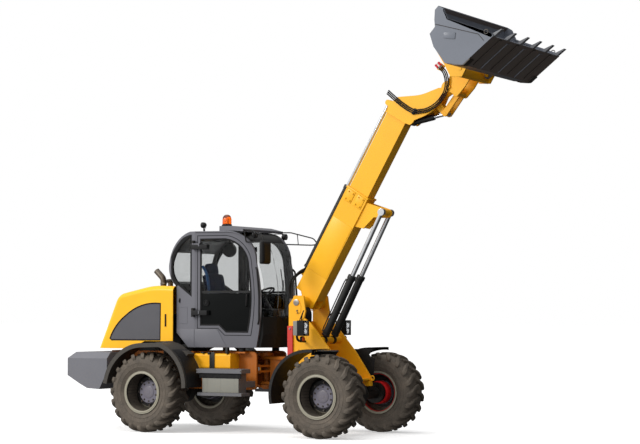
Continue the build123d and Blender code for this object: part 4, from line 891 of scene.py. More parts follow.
def pad(name, lo, hi, body, material, turn=None, crown=0.018, waist=0.010, corner=0.035):
    """A crowned cushion between two corners: grid-sided, its edges rounded and its sides drawn in."""
    lo, hi = Vector(lo), Vector(hi)
    half = (hi - lo) / 2
    bm = bmesh.new()
    bmesh.ops.create_cube(bm, size=1.0)
    bmesh.ops.subdivide_edges(bm, edges=bm.edges, cuts=11, use_grid_fill=True)
    for v in bm.verts:
        u = v.co * 2
        p = Vector(a * b for a, b in zip(u, half))
        inner = Vector(max(-(half[k] - corner), min(half[k] - corner, p[k])) for k in range(3))
        away = p - inner
        if away.length > 1e-9:
            p = inner + away.normalized() * corner
        fall = (1 - u.x**2) * (1 - u.y**2)
        if abs(u.z) > 0.99:
            p.z += crown * fall if u.z > 0 else -crown * 0.3 * fall
        if abs(u.x) > 0.99:
            p.x -= math.copysign(waist * (1 - u.y**2), u.x) * 0.6
        if abs(u.y) > 0.99:
            p.y -= math.copysign(waist * (1 - u.x**2), u.y) * 0.6
        v.co = (turn @ p if turn else p) + (lo + hi) / 2
    piece = finish_mesh(name, bm, body, material, 180, slot="seat")
    swell(piece, 3.0, 0.010)
    sub = piece.modifiers.new("Subdivision", "SUBSURF")
    sub.levels = sub.render_levels = 1
    return piece


def seat():
    """Driver's seat on its bellows, in place of the plain one."""
    lean = Matrix.Rotation(math.radians(-12.5), 4, "Y")
    base = pad("seat_base", P(-790, -225, 1492), P(-330, 225, 1590), "chassis", SEAT_BLUE)
    middle, half = P(-828, 0, 1880), Vector((0.05, 0.215, 0.275))
    pad("seat_back", middle - half, middle + half, "chassis", SEAT_BLUE, lean)
    top, half = P(-905, 0, 2215), Vector((0.038, 0.13, 0.07))
    pad("seat_head", top - half, top + half, "chassis", SEAT_BLUE, lean, 0.012, 0.006, 0.03)
    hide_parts("seat_cushion")
    # two sewn seams on the base and two on the back
    for y in (-90, 90):
        seam = [P(-740, y, 1607), P(-560, y, 1612), P(-380, y, 1607)]
        pipe(f"seat_seam_{y + 90}", seam, 0.0035, "chassis", SEAT_PIPING, 0.05)
        seam = [middle + lean @ Vector((x, y / 1000, z)) for x,
            z in ((0.060, -0.22), (0.068, 0), (0.060, 0.22))]
        pipe(f"back_seam_{y + 90}", seam, 0.0035, "chassis", SEAT_PIPING, 0.05)
    bm = bmesh.new()
    rows = []
    for k in range(9):
        t = k / 8
        spine = lean @ Vector((-0.058 - 0.012 * math.sin(math.pi * t), 0, -0.30 + 0.56 * t)) + middle
        rows.append([bm.verts.new(spine + lean @ Vector((0.03 * abs(u) ** 3, u * 0.225, 0)))
                     for u in (-1, -0.9, -0.5, 0, 0.5, 0.9, 1)])
    for a, b in zip(rows, rows[1:]):
        for j in range(len(a) - 1):
            bm.faces.new((a[j], a[j + 1], b[j + 1], b[j]))
    bmesh.ops.solidify(bm, geom=bm.faces, thickness=0.012)
    finish_mesh("seat_shell", bm, "chassis", BLACK, 40)
    block("seat_pan", "chassis", BLACK, P(-790, -200, 1462), P(-360, 200, 1490), smooth=30, bevel=0.008)
    bm = bmesh.new()
    octagon = ((-1, -0.8), (-0.8, -1), (0.8, -1), (1, -0.8), (1, 0.8), (0.8, 1), (-0.8, 1), (-1, 0.8))
    rings = []
    for k in range(13):
        z = CAB_FLOOR + (1462 - CAB_FLOOR) * k / 12
        grow = 1.0 if k % 2 else 0.93
        rings.append([bm.verts.new(P(-610 + sx * 185 * grow, sy * 185 * grow, z)) for sx, sy in octagon])
    skin(bm, rings)
    finish_mesh("seat_bellows", bm, "chassis", SOFT_BLACK, 20)
    for side, hand in SIDES:
        block(f"arm_rest_{side}", "chassis", SOFT_BLACK, P(-760, hand * 285 - 40, 1700),
            P(-420, hand * 285 + 40, 1745), smooth=60, bevel=0.018, segments=4)
        bracket = side_line(hand, (-780, 285, 1715), (-840, 270, 1690), (-850, 220, 1680))
        pipe(f"arm_rest_bracket_{side}", bracket, 0.013, "chassis", BLACK, 0.03)
    turned("joystick", "chassis", SOFT_BLACK, P(-440, -285, 1744), UP,
        [(0, 0.026), (0.014, 0.024), (0.03, 0.010), (0.10, 0.009), (0.115, 0.017), (0.15, 0.021),
        (0.172, 0.016), (0.178, 0)], 20, smooth=50)


def controls():
    """Dashboard, column, wheel, pedals, consoles, cabinet and lining, in place of the plain ones."""
    bm = bmesh.new()
    loops = []
    for z, x0, x1, w in (
            (CAB_FLOOR, -10, 210, 150), (1420, -6, 205, 140), (1520, -30, 200, 165), (1600, -60, 192, 190),
            (1650, -66, 180, 190), (1668, -50, 150, 170)):
        loops.append([bm.verts.new(P(x, y, z)) for x, y in ((x0, -w), (x1, -w * 0.8), (x1, w * 0.8),
            (x0, w))])
    skin(bm, loops)
    bm.faces.new(loops[0][::-1])
    bm.faces.new(loops[-1])
    dash = finish_mesh("dash_console", bm, "chassis", BLACK, 40, 0.014, 3)
    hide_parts("cab_interior")
    bm = bmesh.new()
    for y in (-95, -32, 32, 95):
        add_lathe(bm, P(-40, y, 1660), Vector((-0.45, 0, 0.9)), [(0, 0.028), (0.012, 0.028), (0.014, 0.025),
            (0.010, 0.023), (0.010, 0)], 24)
    finish_mesh("dash_gauges", bm, "chassis", SOFT_BLACK)
    hub = P(-75, 0, 1862)
    axis, u, v = frame_on((-0.50, 0, 0.866))
    bar("wheel_ring", "chassis", SOFT_BLACK, circle(hub, u, v, 0.175, 48), 0.0135, 12, True, smooth=180)
    bm = bmesh.new()
    add_lathe(bm, hub - axis * 0.035, axis, [(0, 0.020), (0, 0.034), (0.020, 0.040), (0.036, 0.034),
        (0.042, 0.0)], 28)
    for k in range(3):
        a = math.tau * k / 3 + math.pi / 2
        d = u * math.cos(a) + v * math.sin(a)
        add_tube(bm, [hub - axis * 0.018, hub - axis * 0.018 + d * 0.09, hub + d * 0.168], 0.008, 8)
    knob = hub + (u * math.cos(2.6) + v * math.sin(2.6)) * 0.172
    add_lathe(bm, knob, axis, [(0, 0.010), (0.02, 0.010), (0.026, 0.020), (0.05, 0.024), (0.066, 0.014),
        (0.068, 0)], 20)
    finish_mesh("wheel_spokes", bm, "chassis", BLACK, 50)
    foot = P(70, 0, 1612)
    turned("column_shroud", "chassis", BLACK, foot, hub - foot, [(0, 0.055), (0.05, 0.045), (0.12, 0.034),
        (0.24, 0.030), (0.245, 0)], 24, smooth=50)
    bm = bmesh.new()
    turn = Matrix.Rotation(math.radians(-35), 4, "Y")
    for y in (-235, 215):
        add_box(bm, P(-30, y - 40, 1225), P(60, y + 40, 1237), turn)
        add_tube(bm, [P(20, y, 1232), P(70, y, 1200), P(90, y, 1188)], 0.010, 8)
    finish_mesh("pedals", bm, "chassis", SOFT_BLACK, 30, 0.003)
    for side, hand, top in (("right", -1, 1560), ("left", 1, 1500)):
        foot = [P(x, hand * y, CAB_FLOOR) for x, y in ((-800, 310), (-800, 455), (-330, 395), (-330, 310))]
        rise = (0, 0, (top - CAB_FLOOR) / 1000)
        prism(f"console_{side}", "chassis", BLACK, foot, rise, smooth=30, bevel=0.02, segments=3)
    block("rear_cabinet", "chassis", SOFT_BLACK, P(-1010, -420, CAB_FLOOR), P(-840, 420, 1900), smooth=30,
        bevel=0.03, segments=3)
    block("head_lining", "chassis", SOFT_BLACK, P(-980, -400, 2600), P(-420, 400, 2655), smooth=30,
        bevel=0.02, segments=3)


def windscreen_parts():
    """The wiper's boss, arm and blade."""
    turned("wiper_boss", "chassis", BLACK, P(303, -60, 1540), (1, 0, 0),
        [(0, 0.030), (0.012, 0.030), (0.02, 0.018), (0.03, 0.012), (0.03, 0)], 20)
    pipe("wiper_arm", [P(330, -60, 1540), P(336, -66, 1600), P(333, -118, 2050)], 0.007, "chassis", BLACK,
        0.03)
    pipe("wiper_blade", [P(329, -140, 1830), P(331, -128, 2000), P(290, -112, 2200)], 0.006, "chassis",
        SOFT_BLACK, 0.1)


# ------------------------------------------------------------------ hood, weight and steps
def hood_flank(hand, x, z, out):
    """A place on the hood's side, out millimetres proud of it."""
    return P(x, hand * (620 + out), z)


def crossings(loop, u, at):
    """Where a loop crosses the line at one value of coordinate u, in order."""
    v = 1 - u
    return sorted(a[v] + (b[v] - a[v]) * (at - a[u]) / (b[u] - a[u])
                  for a, b in zip(loop, loop[1:] + loop[:1]) if (a[u] - at) * (b[u] - at) < 0)


def rear_parts():
    """Grille mesh and rims, hood latches, tail lamps, stack clamp, collars and pre-cleaner bowl."""
    for side, hand in SIDES:
        flank = partial(hood_flank, hand)
        loop = path(
            (-2188, 1262), (-2160, 1238), (-1337, 1241), (-1331, 1740), ((-1677, 1706), (-1932, 1568)),
            ((-2085, 1430), (-2188, 1262)))[:-1]
        strip(f"grille_rim_{side}", loop, flank, -5, 20, 7, "hood", SOFT_BLACK)
        bm = bmesh.new()
        for u, count, start, least, sink in ((1, 36, 1241, 40, -3.2), (0, 62, -2188, 30, -2.4)):
            for k in range(1, count):
                at = start + 14 * k
                hits = crossings(loop, u, at)
                if len(hits) == 2 and hits[1] - hits[0] > least:
                    ends = [(hits[0] + 6, at), (hits[1] - 6, at)]
                    wire = [flank(*(end if u else end[::-1]), sink) for end in ends]
                    add_tube(bm, wire, 0.0014, 4)
        finish_mesh(f"grille_mesh_{side}", bm, "hood", GRILLE)
        block(f"latch_pocket_{side}", "hood", SOFT_BLACK, P(-1259, hand * 616 - 3, 1424),
            P(-1231, hand * 616 + 3, 1596), smooth=30, bevel=0.002)
        pull = [P(-1245, hand * y, z) for y, z in ((613, 1440), (624, 1450), (624, 1570), (613, 1580))]
        pipe(f"latch_bar_{side}", pull, 0.007, "hood", BLACK, 0.01)
        strip(f"latch_rim_{side}", corners_of(-1262, 1420, -1228, 1600), flank, 0, 9, 3, "hood", HOOD_YELLOW)
        # tail lamps let into the weight's back
        block(f"tail_lamp_{side}", "chassis", TAIL_RED, P(-2730.8, hand * 690 - 75, 925),
            P(-2722, hand * 690 + 75, 985), smooth=30, bevel=0.003, slot="lamp")
    x, y = -1580, -200
    bm = bmesh.new()
    closed_lathe(bm, P(x, y, 2010), UP, [(0, 0.043), (0, 0.048), (0.022, 0.048), (0.022, 0.043)], 40)
    add_box(bm, P(x - 10, y - 66, 2012), P(x + 10, y - 46, 2030))
    finish_mesh("stack_clamp", bm, "hood", STEEL)
    bm = bmesh.new()
    for at, inner, outer, step in ((x, 0.046, 0.072, 0.050), (-1460, 0.038, 0.062, 0.042)):
        closed_lathe(bm, P(at, y, 1976.5), UP, [(0, inner), (0, outer), (0.005, outer), (0.010, step),
            (0.010, inner)], 40)
    finish_mesh("stack_collars", bm, "hood", SOFT_BLACK)
    turned("pre_cleaner_bowl", "hood", BLACK, P(-1460, y, 2026), UP,
        [(0, 0.040), (0.006, 0.059), (0.014, 0.0625), (0.034, 0.0625), (0.036, 0.060), (0.040, 0.060),
        (0.042, 0.0605), (0.0515, 0.052), (0.0560, 0.030), (0.0575, 0)], 40, smooth=40)


def steps_detail():
    """Raised grip on the tread plates, skin and ribs of the box, risers and bolts."""
    for side, hand in SIDES:
        bm = bmesh.new()
        for low, high, z, y0 in ((-590, 110, 865, 612), (-570, 110, 550, 622)):
            for i in range(27):
                for j in range(8):
                    x = low + (high - low) * (i + 0.5) / 27
                    y = y0 + (808 - y0) * (j + 0.5) / 8
                    add_lathe(bm, P(x, hand * y, z), UP, [(-0.001, 0.0095), (0.003, 0.0075), (0.003, 0.005),
                        (0.0005, 0.0045), (0.0005, 0)], 8)
        finish_mesh(f"step_grip_{side}", bm, "chassis", STEP)
        bm = bmesh.new()
        for x in (-440, -230, -20):
            add_box(bm, P(x - 6, hand * 790 - 4, 556), P(x + 6, hand * 790 + 4, 740))
        finish_mesh(f"step_ribs_{side}", bm, "chassis", BOX_GREY, 30, 0.002)
        block(f"step_box_skin_{side}", "chassis", BOX_GREY, P(-518, hand * 791.5 - 1.5, 553),
            P(58, hand * 791.5 + 1.5, 742), smooth=30, bevel=0.001)
        bm = bmesh.new()
        for i in range(22):
            add_lathe(bm, P(-505 + 25.6 * i, hand * 790.2, 775 + 12 * (i % 2)), (0, hand, 0),
                [(0, 0.0085), (0.002, 0.0085), (0.002, 0.006), (0.0004, 0.0055), (0.0004, 0)], 10)
        finish_mesh(f"step_riser_{side}", bm, "chassis", STEP)
        rows = [(P(x, hand * 820, 838), (0, hand, 0), 0.018) for x in (-590, 110)]
        bolts(f"step_bolts_{side}", rows, "chassis", IRON)


# ------------------------------------------------------------------ front frame and lamps
def on_side(hand, x, y, z):
    """A place on the machine's left or right, y millimetres out from its middle."""
    return P(x, hand * y, z)


def add_frames(bm, place, frames):
    """Adds the walls that join rectangles, each at one X, and gives their corners back."""
    loops = [[bm.verts.new(place(x, y, z)) for y, z in corners_of(*box)] for x, *box in frames]
    skin(bm, loops)
    return loops


def head_lamps():
    """Lamps on their stalks with bowls, glass and an indicator, in place of the plain ones."""
    for side, hand in SIDES:
        lamp = partial(on_side, hand)
        bm = bmesh.new()
        loops = add_frames(bm, lamp, (
            (792, 496, 1326, 616, 1494), (798, 488, 1316, 624, 1504), (862, 486, 1314, 626, 1506)))
        bm.faces.new(loops[0][::-1])
        bm.faces.new(loops[-1])
        case = finish_mesh(f"lamp_case_{side}", bm, "front", LAMP_GREY, 30, 0.008, 3)
        bm = bmesh.new()
        add_box(bm, lamp(860, 480, 1310), lamp(920, 632, 1512))
        rim, well = (480, 1310, 632, 1512), (490, 1320, 622, 1502)
        loops = add_frames(bm, lamp, ((920, *rim), (958, *rim), (958, *well), (930, *well)))
        bm.faces.new(loops[-1])
        finish_mesh(f"lamp_housing_{side}", bm, "front", SOFT_BLACK, 30, 0.003)
        prism(f"lamp_glass_{side}", "front", LENS,
            [lamp(946, y, z) for y, z in corners_of(492, 1322, 620, 1500)], (0.005, 0, 0), smooth=30,
            bevel=0.002, slot="lamp")
        bm = bmesh.new()
        for z, r in ((1448, 0.043), (1368, 0.036)):
            add_lathe(bm, lamp(932, 556, z), (1, 0, 0), [(0.012, r), (0.004, r * 0.8), (0.001, r * 0.4),
                (0.002, 0.012), (0.010, 0.010), (0.013, 0)], 28)
        finish_mesh(f"lamp_bowls_{side}", bm, "front", CHROME, 60)
        turned(f"indicator_base_{side}", "front", SOFT_BLACK, lamp(876, 550, 1270), (1, 0, 0),
            [(0, 0), (0, 0.034), (0.02, 0.036), (0.032, 0.036), (0.036, 0.034), (0.036, 0)], 28)
        turned(f"indicator_{side}", "front", INDICATOR, lamp(912, 550, 1270), (1, 0, 0),
            [(0, 0.033), (0.006, 0.032), (0.013, 0.022), (0.016, 0)], 28, smooth=60, slot="lamp")
        stalk = [lamp(800, y, z) for y, z in ((326, 1235), (470, 1240), (520, 1262), (540, 1330))]
        pipe(f"lamp_stalk_{side}", stalk, 0.016, "front", BLACK, 0.07)
        if side == "right":
            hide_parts("headlamps")


def tower_parts():
    """Caps and keepers of the boom's pin, tie-down rings and bolts of the tower and lock bar."""
    face = 325.2
    for side, hand in SIDES:
        out = Vector((0, hand, 0))
        turned(f"boom_pin_cap_{side}", "front", STEEL, P(BOOM_PIN[0], hand * 337.3, BOOM_PIN[1]), out,
            [(0, 0.043), (0.003, 0.043), (0.005, 0.036), (0.0055, 0.010), (0.004, 0.008), (0.004, 0)], 32)
        turns = [math.pi + math.pi * k / 12 for k in range(1, 12)]
        keeper = [(620, 1752), (638, 1700)] + [(690 + 52 * math.cos(a), 1648 + 52 * math.sin(a))
            for a in turns]
        keeper += [(742, 1700), (728, 1752)]
        low = [P(x, hand * face, z) for x, z in keeper]
        high = [P(x + (680 - x) * 0.06, hand * 331, z + (1700 - z) * 0.05) for x, z in keeper]
        slab(f"pin_keeper_{side}", "front", FRAME_YELLOW, low, high, smooth=40)
        rows = [(P(x, hand * 331.2, z), out, size) for x, z, size in ((682, 1640, 0.026), (690, 1612, 0.020))]
        bolts(f"keeper_bolts_{side}", rows, "front", IRON)
        ring = circle(P(1462, hand * 312, 742), AHEAD, Vector(UP), 0.030, 28)
        bar(f"tie_ring_{side}", "front", FRAME_YELLOW, ring, 0.008, 8, True, smooth=180)
        places = ((620, 1200), (700, 1120), (1020, 850), (1120, 790), (900, 900), (1240, 740))
        rows = [(P(x, hand * face, z), out, 0.024) for x, z in places]
        bolts(f"tower_bolts_{side}", rows, "front", FRAME_YELLOW)
    for k, z in enumerate((1000, 1400)):
        bolts(f"lock_bar_bolt_{k}", [(P(580, -349.5, z), (0, -1, 0), 0.030)], "front", STEEL)


# ------------------------------------------------------------------ boom, head and bucket
def flat_bar(name, loop, y0, y1, place, body, material, bevel=0.002):
    """A plate cut to a loop in a boom's or bucket's axes, from y0 to y1."""
    low, high = ([place(a, y, b) for a, b in loop] for y in (y0, y1))
    slab(name, body, material, low, high, bevel=bevel)


BOOM_FACE = 110
LIFT_AXIS = Vector((0.46669406, 0, 0.88441882))  # along the lift cylinders, from foot to rod eye


def boom_sides():
    """Doublers, wear plates and their bolts, caps of the lift pins and weld beads of the bosses."""
    for side, hand in SIDES:
        out = Vector((0, hand, 0))
        face = hand * BOOM_FACE
        rows = []
        for n, (s0, s1, h0, h1) in enumerate(((1480, 1640, 60, 180), (1480, 1640, -110, 10))):
            plate = corners_of(s0, h0, s1, h1)
            flat_bar(f"wear_plate_{side}_{n}", plate, face, face + hand * 7, on_boom, "outer_boom", YELLOW)
            for s in (s0 + 28, s1 - 28):
                for h in (h0 + 24, h1 - 24):
                    rows.append((on_boom(s, face + hand * 7, h), out, 0.026))
        bolts(f"wear_bolts_{side}", rows, "outer_boom", YELLOW)
        cap = [(0, 0.042), (0.004, 0.042), (0.006, 0.034), (0.004, 0.006), (0.004, 0)]
        turned(f"lift_boss_{side}_0", "outer_boom", STEEL, on_boom(1610, hand * 90.3, -415), out, cap, 28)
        turns = [math.tau * k / 40 for k in range(40)]
        weld = [on_boom(-12 + 94 * math.cos(a), hand * 110.5, 94 * math.sin(a)) for a in turns]
        bar(f"boss_weld_{side}", "outer_boom", YELLOW, weld, 0.005, 6, True, smooth=180)
        doubler = corners_of(428, -128, 1212, 200)
        flat_bar(f"boom_doubler_{side}_0", doubler, face + hand * 0.2, face + hand * 4, on_boom, "outer_boom",
                 YELLOW, 0.0015)


def boom_fittings():
    """The mouth's collar, and the glands, caps and lines of the telescope and lift cylinders."""
    bm = bmesh.new()
    outer, inner = corners_of(-118, -148, 118, 223), corners_of(-99, -129, 99, 204)
    rings = []
    for s, loop in ((1642, outer), (1666, outer), (1666, inner), (1642, inner)):
        rings.append([bm.verts.new(on_boom(s, y, h)) for y, h in loop])
    skin(bm, rings, True)
    finish_mesh("mouth_collar", bm, "outer_boom", YELLOW, 35, 0.003)
    for name, s0, s1, r in (("telescope_gland", 1592, 1640, 0.046), ("telescope_cap", 392, 420, 0.045)):
        a, b = on_boom(s0, 0, 272), on_boom(s1, 0, 272)
        span = (b - a).length
        bore = 0.0235
        profile = [(0, r - 0.0055), (0, r - 0.001), (0.004, r), (span - 0.004, r), (span, r - 0.002)]
        turned_ring(name, "outer_boom", DARK, a, b - a, profile + [(span, bore), (span - 0.02, bore)], 32)
    for side, hand in SIDES:
        def lift(along, x=0, z=0, foot=P(960, hand * 120, 1250)):
            return foot + LIFT_AXIS * along + Vector((x, 0, z))

        bm = bmesh.new()
        closed_lathe(bm, lift(0.905), LIFT_AXIS, [(0, 0.0502), (0, 0.055), (0.005, 0.057), (0.048, 0.057),
            (0.054, 0.054), (0.0565, 0.040), (0.0565, 0.0305), (0.03, 0.0305), (0.03, 0.0502)], 36)
        closed_lathe(bm, lift(0.072), LIFT_AXIS, [(0, 0.0502), (0, 0.054), (0.018, 0.054), (0.022, 0.0502)],
            36)
        for along in (0.11, 0.87):
            add_tube(bm, [lift(along, -0.03, 0.016), lift(along, -0.062, 0.033)], 0.014, 12)
        finish_mesh(f"lift_gland_{side}", bm, "lift_barrels", DARK)
        line = [lift(0.11, -0.060, 0.032), lift(0.15, -0.066, 0.035), lift(0.83, -0.066, 0.035),
            lift(0.87, -0.060, 0.032)]
        pipe(f"lift_line_{side}", line, 0.008, "lift_barrels", BLACK, 0.03)


def bucket_parts():
    """Edge bars, heel pads, floor strips and the teeth's bolts."""
    for side, hand in SIDES:
        edge = [(1100, -262), (1115, -228), (781, 317), (812, 453), (794, 444), (762, 316), (1072, -262)]
        flat_bar(f"cheek_edge_{side}", edge, hand * 996, hand * 1020, on_bucket, "coupler", BUCKET)
        heel = [(600, -270), (560, -246), (478, -164), (470, -178), (552, -258), (586, -284), (700, -284),
            (700, -270)]
        flat_bar(f"heel_pad_{side}", heel, hand * 900, hand * 1018, on_bucket, "coupler", IRON)
    bm = bmesh.new()
    for y in (-760, -250, 250, 760):
        end = [on_bucket(x, y - 30, z) for x, z in ((620, -270), (620, -280), (1080, -280), (1090, -270))]
        add_prism(bm, end, (0, 0.060, 0))
    # The strips' near-black sides are painted shade, the dark lines of grooves.
    finish_mesh("floor_strips", bm, "coupler", STRIP_SHADE_AND_WEAR, 30, 0.002)
    up = on_bucket(0, 0, 0) - on_bucket(0, 0, -1)
    rows = [(on_bucket(x, y, -233.5), up, 0.030)
            for y in (-965, -579, -193, 193, 579, 965) for x in (1022, 1066)]
    bolts("tooth_bolts", rows, "coupler", IRON)


# ------------------------------------------------------------------ hoses, skirts and small fittings
def smooth_line(points, steps=8):
    """Places along a smooth line through the points."""
    pts = [Vector(p) for p in points]
    pts = [pts[0] * 2 - pts[1]] + pts + [pts[-1] * 2 - pts[-2]]
    made = []
    for a, b, c, d in zip(pts, pts[1:], pts[2:], pts[3:]):
        for k in range(steps):
            t = k / steps
            made.append((b * 2 + (c - a) * t + (a * 2 - b * 5 + c * 4 - d) * t**2
                + (b * 3 - a - c * 3 + d) * t**3) / 2)
    return made + [pts[-2]]


def bent_hose(name, points, radius):
    """A hose between two bodies, on neither of them: its place is baked into its mesh."""
    line = smooth_line(points)
    piece = bar(name, None, SOFT_BLACK, line, radius, 12, smooth=180)
    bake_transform(piece)


def fixed_hose(name, points, radius, body):
    """A hose that stays as it lies, on one body."""
    bar(name, body, SOFT_BLACK, smooth_line(points, 6), radius, 12, smooth=60)


CAPS = (COUPLING_RED, COUPLING_WHITE, COUPLING_RED)


def head_loop():
    """Three hoses from the head's clamp to the coupler, and their push-pull couplings."""
    route = [(2973, -194, -130), (3075, -337, -133), (3199, -425, -140), (3311, -461, -150),
        (3420, -468, -158), (3530, -430, -172), (3620, -350, -188), (3650, -262, -200)]
    for k, shift in enumerate((-21, 0, 21)):
        line = []
        for n, (s, h, y) in enumerate(route):
            a = route[max(0, n - 1)]
            b = route[min(len(route) - 1, n + 1)]
            span = math.hypot(b[0] - a[0], b[1] - a[1])
            line.append(on_boom(s - (b[1] - a[1]) / span * shift, y - 5 * k,
                h + (b[0] - a[0]) / span * shift))
        bent_hose(f"head_loop_{k}", line, 0.0085)
        end = line[-1]
        way = (end - line[-2]).normalized()
        nut = [(0, 0.0095), (0, 0.013), (0.020, 0.013), (0.020, 0.0095)]
        turned_ring(f"coupling_{k}_nut", "coupler", STEEL, end - way * 0.012, way, nut, 24)
        cap = [(0, 0), (0, 0.0165), (0.004, 0.018), (0.022, 0.018), (0.026, 0.0165), (0.034, 0.0165),
               (0.038, 0.018), (0.052, 0.018), (0.056, 0.015), (0.058, 0.008), (0.058, 0)]
        turned(f"coupling_{k}_cap", "coupler", CAPS[k], end + way * 0.008, way, cap, 24)
    plate = [on_boom(s, -158, h) for s, h in ((3610, -300), (3690, -300), (3700, -215), (3600, -215))]
    prism("coupling_bracket", "coupler", YELLOW, plate, (0, -0.010, 0), smooth=30, bevel=0.002)


def boom_foot_hoses():
    """Hoses between the tower and the boom's back, behind the boom's pivot."""
    routes = ([on_boom(420, -70, 232), P(640, -76, 2185), P(585, -86, 2160), P(525, -102, 2125),
        P(478, -126, 2065), P(460, -158, 1990), P(470, -196, 1915), P(505, -236, 1848), P(552, -272, 1800)],
        [on_boom(400, -40, 232), P(632, -48, 2172), P(580, -60, 2150), P(527, -78, 2112),
        P(485, -104, 2050), P(470, -138, 1975), P(482, -178, 1898), P(514, -215, 1830), P(552, -245, 1780)],
        [on_boom(440, -96, 225), P(655, -104, 2200), P(602, -118, 2172), P(560, -138, 2130),
        P(537, -164, 2070), P(530, -194, 2000), P(537, -226, 1925), P(553, -258, 1855), P(575, -285, 1790)])
    for k, line in enumerate(routes):
        bent_hose(f"boom_foot_hose_{k}", line[::-1], 0.011)
    bm = bmesh.new()
    half = Vector((0.016, 0.014, 0.016))
    for s, y in ((420, -70), (400, -40), (440, -96)):
        add_box(bm, on_boom(s, y, 210) - half, on_boom(s, y, 232) + half)
    finish_mesh("boom_foot_blocks", bm, "outer_boom", IRON, 30, 0.003)
    block("tower_hose_block", "front", IRON, P(541, -300, 1740), P(600, -232, 1800), smooth=30, bevel=0.004)


def tower_hoses():
    """A row of hoses inside the tower, and the cables of the lamps."""
    for k in range(6):
        y = -292 + 31 * k
        rise = ((640, 1000), (690, 1180), (752, 1380), (775, 1520), (772, 1620), (735, 1680))
        fixed_hose(f"tower_hose_{k}", [P(x, y, z) for x, z in rise], 0.014, "front")
    cable = ((845, 545, 1500), (862, 505, 1590), (850, 440, 1640), (800, 385, 1610), (760, 345, 1540),
        (745, 329, 1480))
    for side, hand in SIDES:
        fixed_hose(f"lamp_cable_{side}", [P(x, hand * y, z) for x, y, z in cable], 0.007, "front")


def skirts():
    """Inner skirts and mud flaps of the fenders, straps of the tanks and bands of the steps."""
    for side, hand in SIDES:
        inner = [(1052, 1060), (1052, 1108), (1075, 1126), (1388, 1126), (1392, 1110), (1328, 1042),
            (1420, 1000), (1408, 800), (1400, 705), (1320, 690), (1240, 800)]
        bm = bmesh.new()
        add_prism(bm, [P(x, hand * 452, z) for x, z in inner], (0, hand * 0.010, 0))
        add_box(bm, P(1060, hand * 500 - 46, 1104.6), P(1392, hand * 500 + 50, 1112))
        finish_mesh(f"fender_skirt_{side}", bm, "front", BLACK, 30, 0.003)
        curve = [(-1044, 1208)] + arc((-1044, 1208), (-757, 1000), (-635, 615), 24)
        curve = [q for q in curve if q[1] < 1130]
        away = []
        for (ax, az), (bx, bz) in zip(curve, curve[1:]):
            span = math.hypot(bx - ax, bz - az)
            away.append((-(bz - az) / span, (bx - ax) / span))
        away.append(away[-1])
        low, high = ([(x + u * d, z + w * d) for (x, z), (u, w) in zip(curve, away)] for d in (0.8, 9))
        prism(f"mud_flap_{side}", "chassis", BLACK, [P(x, hand * 660, z) for x, z in low + high[::-1]],
            (0, hand * 0.335, 0), smooth=60, bevel=0.002)
        # Painted shade: the straps and brackets on the tank's face take the dark chassis paint for the deep
        # shade that lies on them.
        bm = bmesh.new()
        add_box(bm, P(-529, hand * 606 - 5, 868), P(-449, hand * 606 + 5, 1085))
        add_box(bm, P(-560, hand * 606 - 5, 1052), P(-500, hand * 606 + 5, 1085))
        for x in (-640, -250):
            add_box(bm, P(x - 18, hand * 590 - 30, 1064), P(x + 18, hand * 590 + 22, 1150 if x > -300
                else 1086))
        finish_mesh(f"tank_strap_{side}", bm, "chassis", DARK, 30, 0.003)
        block(f"step_band_{side}", "chassis", SOFT_BLACK, P(-566, hand * 794 - 5, 744),
            P(96, hand * 794 + 5, 809), smooth=30, bevel=0.002)


def bucket_side():
    """A dark bar of painted shadow along the step between the cheek's upper and lower plates, a lug and a
    lifting eye on the bucket's cheeks.
    """
    def local(x, z):
        dx, dz = x * 1000 - HEAD[0], z * 1000 - HEAD[1]
        return dx * BUCKET_COS + dz * BUCKET_SIN, -dx * BUCKET_SIN + dz * BUCKET_COS

    # These points trace where the cheek's upper plate steps over the lower; the bar laid along them is dark
    # as painted shadow.
    seam = [local(x, z) for x, z in ((3.094, 5.178), (3.684, 5.008), (3.755, 4.925))]
    lug = [local(x, z) for x, z in ((3.213, 5.069), (3.375, 5.050), (3.368, 4.971), (3.212, 4.995))]
    eye_x, eye_z = local(3.79, 5.03)
    for side, hand in SIDES:
        bead = [on_bucket(x, hand * 1020, z) for x, z in seam]
        bar(f"cheek_seam_{side}", "coupler", BUCKET_SHADOW_LINE, bead, 0.0045, 6, smooth=60)
        flat_bar(f"cheek_lug_{side}", lug, hand * 1020.3, hand * 1027, on_bucket, "coupler", BUCKET)
        ring = circle(on_bucket(eye_x, hand * 1020, eye_z), AHEAD, Vector(UP), 0.026, 20)
        bar(f"cheek_eye_{side}", "coupler", IRON, ring, 0.006, 8, True, smooth=180)


